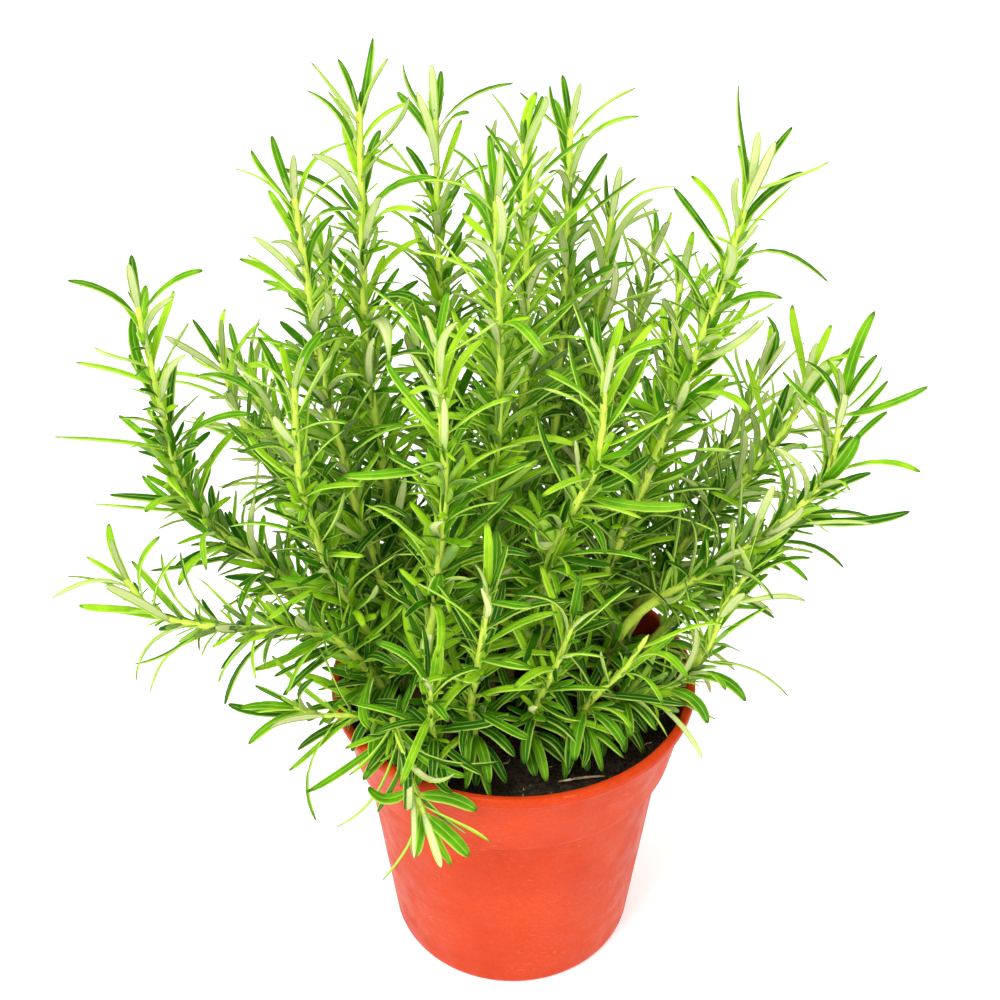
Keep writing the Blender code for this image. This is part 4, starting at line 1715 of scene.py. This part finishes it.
CHOSEN_LEAVES: tuple[ChosenLeaf, ...] = (
    ChosenLeaf("right_shoot_3", 0.69, (1.0, -0.05, -0.02), (1.0, 0.0, 0.05), 41.0, 3.8, tone=0.0),
    ChosenLeaf("right_shoot_3", 0.99, (0.15, 0.25, 0.95), (0.30, 0.30, 0.92), 31.0, 3.6),
    ChosenLeaf("right_shoot_3", 0.97, (0.90, -0.10, 0.30), (0.90, 0.10, 0.45), 28.0, 3.0),
    ChosenLeaf("right_shoot_3", 0.96, (-0.75, -0.10, 0.55), (-0.65, 0.0, 0.75), 27.0, 3.2),
    ChosenLeaf("right_shoot_3", 0.80, (0.25, -0.55, 0.85), (0.35, -0.25, 0.95), 26.0, 4.4, Face.UNDER),
    ChosenLeaf("right_shoot_3", 0.60, (0.30, -0.60, 0.45), (0.45, -0.35, 0.85), 20.0, 4.4, Face.UNDER),
    ChosenLeaf("right_shoot_3", 0.36, (0.35, -0.60, 0.40), (0.50, -0.30, 0.85), 18.0, 4.2, Face.UNDER),
    ChosenLeaf("right_shoot_1", 0.70, (0.70, -0.40, 0.50), (0.75, -0.10, 0.75), 26.0, 4.0, Face.UNDER),
    ChosenLeaf("front_shoot_1", 0.46, (0.05, -0.80, 0.75), (0.10, -0.30, 1.00), 20.0, 5.0, Face.UNDER),
    ChosenLeaf("front_shoot_1", 0.36, (-0.15, -0.80, -0.10), (-0.10, -0.50, -0.80), 9.0, 4.2, Face.UNDER),
    ChosenLeaf("front_shoot_2", 0.56, (-0.70, -0.60, 0.30), (-0.10, -0.30, 1.00), 16.0, 4.2, Face.UNDER),
    ChosenLeaf("front_shoot_2", 0.40, (-0.80, -0.60, 0.00), (-0.30, -0.60, 0.70), 11.0, 4.4, Face.UNDER),
    ChosenLeaf("centre_shoot_1", 0.68, (0.45, -0.70, 0.35), (0.20, -0.55, -0.85), 26.0, 4.4, Face.UNDER),
    ChosenLeaf("left_shoot_5", 0.72, (-0.55, -0.70, -0.05), (-0.25, -0.45, 0.85), 16.0, 4.2, Face.UNDER),
    ChosenLeaf("left_shoot_2", 0.62, (-0.80, -0.40, 0.45), (-0.90, -0.20, 0.20), 26.0, 3.6, tone=0.1),
    ChosenLeaf("right_shoot_5", 0.42, (0.80, -0.50, 0.00), (0.45, -0.25, -0.85), 21.0, 4.2),
    ChosenLeaf("right_shoot_5", 0.52, (0.85, -0.25, 0.05), (0.75, -0.15, -0.80), 24.0, 4.0),
    ChosenLeaf("front_shoot_4", 0.90, (0.95, -0.20, 0.10), (0.90, -0.30, -0.20), 20.0, 4.4),
    ChosenLeaf("front_shoot_4", 0.86, (-0.80, -0.30, -0.15), (-0.55, -0.20, 0.65), 17.0, 4.0),
    ChosenLeaf("front_shoot_4", 0.97, (-0.15, -0.60, -0.70), (-0.10, -0.15, -1.00), 16.0, 4.4),
    ChosenLeaf("front_shoot_4", 0.99, (0.75, -0.55, -0.35), (0.70, -0.25, -0.70), 20.0, 4.6),
    ChosenLeaf("left_shoot_7", 0.95, (-0.80, -0.30, -0.15), (-0.70, -0.20, -0.60), 22.0, 3.6),
    ChosenLeaf("left_shoot_7", 0.98, (-0.85, -0.20, 0.35), (-0.90, -0.10, 0.05), 20.0, 3.2),
    ChosenLeaf("front_shoot_1", 0.76, (-0.95, -0.35, 0.05), (-1.00, -0.25, 0.10), 31.0, 3.8),
    ChosenLeaf("front_shoot_2", 0.70, (0.95, -0.40, 0.00), (1.00, -0.20, 0.08), 33.0, 3.8),
)


@dataclass(frozen=True)
class Whorl:
    """One ring of young leaves at the very tip of a shoot.

    Lengths, width and rise are in millimetres, spreads in degrees.
    """

    count: int
    lengths: tuple[float, float]
    spreads: tuple[float, float]
    width: float
    cut: BladeCut
    rise: float


CROWN: tuple[Whorl, ...] = (
    Whorl(2, (15.0, 21.0), (9.0, 22.0), 2.7, BladeCut.FULL, -1.5),
    Whorl(2, (6.0, 10.0), (10.0, 26.0), 1.3, BladeCut.SMALL, -1.0),
    Whorl(3, (3.5, 5.5), (6.0, 22.0), 0.9, BladeCut.SMALL, -0.5),
)


@dataclass
class LeafDresser:
    """Turns a grown shoot into its blades: pairs, in-between pairs, tufts, skirt and crown.

    Leaves are left out along the line from gap_foot to gap_head.  Both, the
    skirt's heights and how deep a leaf's foot is sunk are in millimetres.
    """

    pot: Pot
    soil: Soil
    tuft_blades: int = 4
    tuft_reach: float = 21.0 * MM
    least_length: float = 27.0 * MM
    sunk: float = 0.6
    clearance: float = 1.6 * MM
    bare_tip: float = 7.0 * MM
    skirt_starts: float = 12.0 * MM
    skirt_heights: tuple[float, ...] = (9.0, 13.5, 18.0, 23.0)
    skirt_limit: float = -0.55
    gap_foot: Triple = (50.0, 35.0, 108.0)
    gap_head: Triple = (19.0, -172.0, 269.0)
    gap_radius: float = 6.5 * MM

    def dress(self, shoot: Shoot) -> Foliage:
        """Make every blade of one shoot.

        Args:
            shoot: The grown shoot.

        Returns:
            Its foliage.
        """
        rng = random.Random(shoot.name + " blades")
        foliage = Foliage()
        for leaf in shoot.leaves.values():
            self.add_leaf(foliage, shoot, leaf, rng)
        for leaf in self.between(shoot, rng):
            self.add_leaf(foliage, shoot, leaf, rng)
        for leaf in self.skirt(shoot, rng):
            # Skirt leaves get a low youth: the darker green of old leaves, with painted shade where they
            # hang low under the plant.
            foliage.add(
                Blade(
                    leaf,
                    BladeCut.FULL,
                    youth=rng.uniform(0.10, 0.30),
                    tone=rng.uniform(0.1, 0.7),
                    twist=rng.uniform(-0.6, 0.6),
                    curl=rng.uniform(-0.1, 0.1),
                    sway=rng.uniform(-0.15, 0.15),
                )
            )
        for chosen in CHOSEN_LEAVES:
            if chosen.shoot == shoot.name:
                leaf = chosen.leaf(shoot)
                youth = self.youth(chosen.share, leaf.base)
                curl, sway = rng.uniform(-0.12, 0.16), rng.uniform(-0.14, 0.14)
                foliage.add(Blade(leaf, BladeCut.FULL, youth, chosen.tone, 0.15, curl, sway))
        self.add_crown(foliage, shoot, rng)
        foliage.blades = [blade for blade in foliage.blades if not self.in_gap(blade.leaf)]
        return foliage

    def in_gap(self, leaf: Leaf) -> bool:
        """Tell whether a leaf would close the gap that shows the pot's inner rim.

        Args:
            leaf: The leaf.

        Returns:
            True where it would.
        """
        foot, head = Vector(self.gap_foot) * MM, Vector(self.gap_head) * MM
        axis = (head - foot).normalized()
        for step in range(7):
            offset = leaf.base + leaf.along * (leaf.length * step / 6) - foot
            if (offset - axis * offset.dot(axis)).length < self.gap_radius:
                return True
        return False

    def youth(self, share: float, point: Vector) -> float:
        """How young and bright a leaf is: younger further up its shoot, brighter higher above the soil,
        and darker away from the middle as painted shade.

        Args:
            share: Share of the way up its shoot.
            point: Where its foot is.

        Returns:
            Youth with painted shade in it, from 0 to 1.
        """
        # Further up the shoot is younger and higher above the soil is brighter; the drop with reach from
        # the middle is painted shade.
        rise = clamped((point.z - self.soil.top) / (150.0 * MM))
        reach = min(1.0, math.hypot(point.x, point.y) / (110.0 * MM))
        return clamped(0.25 + 0.26 * share + 0.16 * rise - 0.16 * reach)

    def varied(self, leaf: Leaf, tangent: Vector, share: float, rng: random.Random) -> Leaf:
        """The same leaf leaning, swinging and bending a little its own way.

        A leaf that was cut short to clear its neighbours grows out again.

        Args:
            leaf: The leaf as grown.
            tangent: Direction of the stem at its foot.
            share: Share of the way up the shoot.
            rng: Source of variety.

        Returns:
            The varied leaf, or the leaf as grown where that would meet the pot.
        """
        lean = Matrix.Rotation(math.radians(rng.gauss(0.0, 8.0)), 3, leaf.across)
        swing = Matrix.Rotation(math.radians(rng.gauss(0.0, 9.0)), 3, tangent)
        turn = swing @ lean
        rise = tangent * (0.46 * min(share, 1.0 - share) - 0.10 * share)
        along = ((turn @ leaf.along) + rise).normalized()
        upper = turn @ leaf.upper
        upper = (upper - along * upper.dot(along)).normalized()
        outer = (turn @ leaf.outer) + rise
        bend = rng.uniform(-0.15, 0.62) if share > 0.4 else rng.uniform(-0.45, 0.30)
        side = along.cross(upper)
        outer = (outer - upper * bend + side * rng.gauss(0.0, 0.16)).normalized()
        grown = self.least_length * GrowthRules.size_at(share)
        length = max(leaf.length, grown) * rng.uniform(0.92, 1.26)
        width = leaf.width * rng.uniform(0.66, 0.93)
        base = leaf.base - along * self.sunk * MM
        made = Leaf(base, along, upper, outer, length + self.sunk * MM, width)
        if self.clear_of_pot(made):
            return made
        base = leaf.base - leaf.along * self.sunk * MM
        return Leaf(base, leaf.along, leaf.upper, leaf.outer, leaf.length, width)

    def add_leaf(self, foliage: Foliage, shoot: Shoot, leaf: Leaf, rng: random.Random) -> None:
        """Add a main leaf and the tuft in its axil.

        Args:
            foliage: Where the blades go.
            shoot: The shoot.
            leaf: The grown leaf.
            rng: Source of variety.
        """
        share = shoot.share_near(leaf.base)
        _, tangent, _, _ = shoot.frame_at(share * shoot.length)
        shown = self.varied(leaf, tangent, share, rng)
        bends = 0.16 + 0.24 * share
        twist, curl = rng.uniform(-0.8, 0.8), rng.uniform(-bends, bends)
        sway, tone = rng.uniform(-0.26, 0.26), rng.random()
        youth = self.youth(share, leaf.base)
        foliage.add(Blade(shown, BladeCut.FULL, youth, tone, twist, curl, sway))
        if share < 0.95:
            self.add_tuft(foliage, shoot, leaf, share, rng)

    def add_tuft(
        self, foliage: Foliage, shoot: Shoot, leaf: Leaf, share: float, rng: random.Random
    ) -> None:
        """Add the small leaves in the axil of a leaf.

        Args:
            foliage: Where the blades go.
            shoot: The shoot.
            leaf: The leaf whose axil it is.
            share: Share of the way up the shoot.
            rng: Source of variety.
        """
        _, tangent, _, _ = shoot.frame_at(share * shoot.length)
        outward = (leaf.along - tangent * leaf.along.dot(tangent)).normalized()
        axis = (tangent + outward * rng.uniform(0.45, 1.0)).normalized()
        side = axis.cross(outward).normalized()
        other = axis.cross(side)
        from_tip = (1.0 - share) * shoot.length
        reach = min(self.tuft_reach, 4.0 * MM + from_tip * 0.22) * rng.uniform(0.75, 1.2)
        count = self.tuft_blades if from_tip > 30.0 * MM else 2
        offset = rng.uniform(0.0, math.tau)
        base = leaf.base + tangent * 1.0 * MM - outward * 0.5 * MM
        for index in range(count):
            angle = offset + math.tau * index / count + rng.uniform(-0.4, 0.4)
            away = side * math.cos(angle) + other * math.sin(angle)
            spread = rng.uniform(0.18, 0.75)
            along = (axis * math.cos(spread) + away * math.sin(spread)).normalized()
            upper = (axis * math.sin(spread) - away * math.cos(spread)).normalized()
            outer = (along - upper * rng.uniform(-0.1, 0.6)).normalized()
            length = reach * rng.uniform(0.6, 1.0)
            width = (0.9 * MM + length * 0.085) * rng.uniform(0.85, 1.15)
            small = Leaf(base + away * 0.4 * MM, along, upper, outer, length, width)
            if self.clear_of_pot(small):
                foliage.add(
                    Blade(
                        small,
                        BladeCut.SMALL,
                        youth=min(1.0, self.youth(share, base) + 0.12),
                        tone=rng.random(),
                        twist=rng.uniform(-0.4, 0.4),
                        curl=rng.uniform(-0.15, 0.2),
                        sway=rng.uniform(-0.12, 0.12),
                    )
                )

    def between(self, shoot: Shoot, rng: random.Random) -> Iterator[Leaf]:
        """Leaves halfway between the frame's pairs, turned by an eighth.

        Args:
            shoot: The grown shoot.
            rng: Source of variety.

        Yields:
            Each leaf that clears the pot and the soil.
        """
        nodes = shoot.node_distances()
        for index, (low, high) in enumerate(zip(nodes, nodes[1:])):
            distance = (low + high) / 2
            if shoot.length - distance < self.bare_tip:
                continue
            _, _, side, other = shoot.frame_at(distance)
            slant = math.pi / 4 + (math.pi / 2 if index % 2 else 0.0)
            for half in (0.0, math.pi):
                shoot.wobble = (
                    rng.uniform(-10.0, 10.0),
                    rng.uniform(-14.0, 14.0),
                    rng.uniform(-0.2, 0.05),
                )
                outward = side * math.cos(slant + half) + other * math.sin(slant + half)
                for lift in (-10.0, -22.0, -34.0):
                    leaf = shoot.leaf_towards(distance, outward, (lift, 0.0, 0.9))
                    if self.clear_of_pot(leaf):
                        yield leaf
                        break

    def skirt(self, shoot: Shoot, rng: random.Random) -> Iterator[Leaf]:
        """Old leaves that hang over the soil around the foot of an outer shoot.

        Args:
            shoot: The grown shoot.
            rng: Source of variety.

        Yields:
            Each leaf that clears the pot and the soil.
        """
        root = shoot.path[1]
        out = math.atan2(root.y, root.x)
        reach = math.hypot(root.x, root.y)
        if reach < self.skirt_starts:
            return
        for height in self.skirt_heights:
            point, tangent, _, _ = shoot.frame_at(height * MM)
            for turn in (-0.85, 0.0, 0.85):
                angle = out + turn + rng.uniform(-0.35, 0.35)
                away = Vector((math.cos(angle), math.sin(angle), 0.0))
                if away.x < self.skirt_limit:
                    continue
                drop = rng.uniform(0.25, 0.8)
                for ease in (1.0, 0.6, 0.25, 0.0, -0.4):
                    along = (away + Vector((0.0, 0.0, 0.35 - drop * 0.4 * ease))).normalized()
                    outer = (away + Vector((0.0, 0.0, -drop * 1.5 * ease))).normalized()
                    upper = (UP - along * along.z).normalized()
                    length, width = rng.uniform(15.0, 23.0) * MM, rng.uniform(3.2, 4.2) * MM
                    leaf = Leaf(point + away * 1.0 * MM, along, upper, outer, length, width)
                    if self.clear_of_pot(leaf):
                        yield leaf
                        break

    def add_crown(self, foliage: Foliage, shoot: Shoot, rng: random.Random) -> None:
        """Add the young leaves at the very tip of a shoot.

        Args:
            foliage: Where the blades go.
            shoot: The shoot.
            rng: Source of variety.
        """
        point, tangent, side, other = shoot.frame_at(shoot.length)
        turn = math.pi / 2 * (len(shoot.node_distances()) % 2)
        for ring, whorl in enumerate(CROWN):
            for index in range(whorl.count):
                angle = turn + ring * math.pi / 2 + math.tau * index / whorl.count
                angle += rng.uniform(-0.3, 0.3)
                outward = side * math.cos(angle) + other * math.sin(angle)
                lean = math.radians(rng.uniform(*whorl.spreads))
                along = (tangent * math.cos(lean) + outward * math.sin(lean)).normalized()
                upper = (tangent * math.sin(lean) - outward * math.cos(lean)).normalized()
                outer = (along - upper * rng.uniform(-0.05, 0.35)).normalized()
                base = point + tangent * whorl.rise * MM + outward * 0.3 * MM
                length, width = rng.uniform(*whorl.lengths) * MM, whorl.width * MM
                foliage.add(
                    Blade(
                        Leaf(base, along, upper, outer, length, width),
                        whorl.cut,
                        youth=0.52 + 0.12 * ring,
                        tone=rng.random(),
                        twist=rng.uniform(-0.4, 0.4),
                        curl=rng.uniform(-0.05, 0.12),
                    )
                )

    def clear_of_pot(self, leaf: Leaf) -> bool:
        """Tell whether a leaf keeps out of the soil and of the pot's wall.

        Args:
            leaf: The leaf.

        Returns:
            True where it is clear.
        """
        margin = self.clearance
        start = leaf.along * (1.0 + BOW) - leaf.outer * BOW
        end = leaf.outer * (1.0 + BOW) - leaf.along * BOW
        for step in range(1, 9):
            t = step / 8
            point = leaf.base + (start * t + (end - start) * (t * t / 2)) * leaf.length
            radius = math.hypot(point.x, point.y)
            if radius < self.soil.radius and point.z < self.soil.top + margin:
                return False
            if point.z < self.pot.height + margin:
                inner = self.pot.inner_radius(min(point.z, self.pot.height - 0.1 * MM)) - margin
                outer = self.pot.outer_radius(min(point.z, self.pot.height - 1.0 * MM)) + margin
                if inner < radius < outer:
                    return False
        return True


@dataclass
class Rosemary:
    """All the shoots that share the pot."""

    pot: Pot
    soil: Soil
    rules: GrowthRules = field(default_factory=GrowthRules)
    leaf_finish: LeafFinish = field(default_factory=LeafFinish)
    stem_finish: StemFinish = field(default_factory=StemFinish)

    def build(self) -> list[bpy.types.Object]:
        """Grow and dress every shoot.

        Returns:
            A stem piece and a leaf piece for each shoot.
        """
        shoots = [Shoot(name, points, self.rules) for name, points in SHOOTS.items()]
        walls = wall_tree(("pot", "potting_soil", "straw"))
        neighbours = Neighbours()
        for shoot in shoots:
            for centre, tree in shoot.stem_trees():
                neighbours.add(centre, tree, shoot.name + " stem")
        for shoot in shoots:
            shoot.grow(neighbours, walls)
        leaf_material = self.leaf_finish.material()
        stem_material = self.stem_finish.material()
        stems, dresser = StemBuilder(), LeafDresser(self.pot, self.soil)
        pieces: list[bpy.types.Object] = []
        for shoot in shoots:
            name = shoot.name
            mesh = stems.mesh(shoot)
            pieces.append(add_piece(name + "_stem", mesh, stem_material, Slot.STEM, (name,)))
            mesh = dresser.dress(shoot).mesh(name + "_leaves")
            pieces.append(add_piece(name + "_leaves", mesh, leaf_material, Slot.LEAF, (name,)))
        log.info("%d leaves as in the frame", sum(len(shoot.leaves) for shoot in shoots))
        return pieces


# --------------------------------------------------------------------------
# Studio
# --------------------------------------------------------------------------


@dataclass(frozen=True)
class Lamp:
    """A soft square light that faces the plant."""

    name: str
    place: Triple
    size: float
    power: float
    colour: Colour

    def hang(self, aim: Triple) -> None:
        """Hang the light and turn it to a point.

        Args:
            aim: The point.
        """
        data = bpy.data.lights.new(self.name, "AREA")
        data.size = self.size
        data.energy = self.power
        data.color = self.colour
        lamp = new_object(self.name, data)
        lamp.location = self.place
        towards = Vector(aim) - Vector(self.place)
        lamp.rotation_euler = towards.to_track_quat("-Z", "Y").to_euler()


@dataclass
class Studio:
    """White floor, soft light and the camera."""

    lamps: tuple[Lamp, ...] = (
        Lamp("key_light", (-0.8, -0.9, 1.9), 0.9, 40.0, (1.0, 0.99, 0.97)),
        Lamp("fill_light", (0.5, -1.6, 1.0), 1.2, 13.0, (0.98, 0.99, 1.0)),
        Lamp("top_light", (0.1, 0.5, 1.9), 1.6, 19.0, (1.0, 1.0, 1.0)),
    )
    aim: Triple = (0.0, 0.0, 0.15)
    floor_size: float = 30.0
    sky: float = 0.48
    horizon: float = 0.80
    brightest_below: float = 0.02
    paler_below: float = 0.50
    camera_place: Triple = (-0.012, -0.379, 0.431)
    camera_tilt: float = 57.2
    camera_pan: float = 0.0
    camera_roll: float = -1.1
    lens: float = 49.25
    film_width: float = 36.0
    sees_from: float = 0.02
    sees_to: float = 50.0
    floor_finish: FloorFinish = field(default_factory=FloorFinish)

    def build(self) -> None:
        """Set up the floor, lights, sky and camera."""
        self.build_floor()
        self.build_sky()
        for lamp in self.lamps:
            lamp.hang(self.aim)
        self.build_camera()
        view = bpy.context.scene.view_settings
        view.view_transform = "Standard"
        view.look = "None"

    def build_floor(self) -> None:
        """Lay the plain white floor under the pot."""
        mesh = bpy.data.meshes.new("floor")
        half = self.floor_size / 2
        corners = [(-half, -half, 0), (half, -half, 0), (half, half, 0), (-half, half, 0)]
        mesh.from_pydata(corners, [], [(0, 1, 2, 3)])
        mesh.materials.append(self.floor_finish.material())
        floor = new_object("floor", mesh)

    def build_sky(self) -> None:
        """Light everything with a white sky, brighter towards the horizon."""
        world = bpy.data.worlds.new("studio_sky")
        world.use_nodes = True
        tree = world.node_tree
        background = tree.nodes["Background"]
        background.inputs["Color"].default_value = (1.0, 1.0, 1.0, 1.0)
        height = tree.nodes.new("ShaderNodeSeparateXYZ")
        where = tree.nodes.new("ShaderNodeTexCoord").outputs["Generated"]
        tree.links.new(where, height.inputs["Vector"])
        power = tree.nodes.new("ShaderNodeMapRange")
        power.interpolation_type = "SMOOTHSTEP"
        power.inputs["From Min"].default_value = self.brightest_below
        power.inputs["From Max"].default_value = self.paler_below
        power.inputs["To Min"].default_value = self.horizon
        power.inputs["To Max"].default_value = self.sky
        tree.links.new(height.outputs["Z"], power.inputs["Value"])
        tree.links.new(power.outputs["Result"], background.inputs["Strength"])
        bpy.context.scene.world = world

    def build_camera(self) -> None:
        """Place the camera in front of and above the plant."""
        data = bpy.data.cameras.new("camera")
        data.lens = self.lens
        data.sensor_width = self.film_width
        data.clip_start, data.clip_end = self.sees_from, self.sees_to
        camera = new_object("camera", data)
        camera.location = self.camera_place
        turns = (self.camera_tilt, self.camera_pan, self.camera_roll)
        camera.rotation_euler = [math.radians(turn) for turn in turns]
        bpy.context.scene.camera = camera


def main() -> None:
    """Build the studio, the pot, the soil, the straw and the rosemary."""
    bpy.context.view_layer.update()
    log.info("building the studio")
    Studio().build()
    pot = Pot()
    soil = Soil(pot)
    log.info("building the pot and its soil")
    pot.build()
    soil.build()
    Straw(soil).build()
    log.info("growing the rosemary")
    Rosemary(pot, soil).build()


if __name__ == "__main__":
    main()
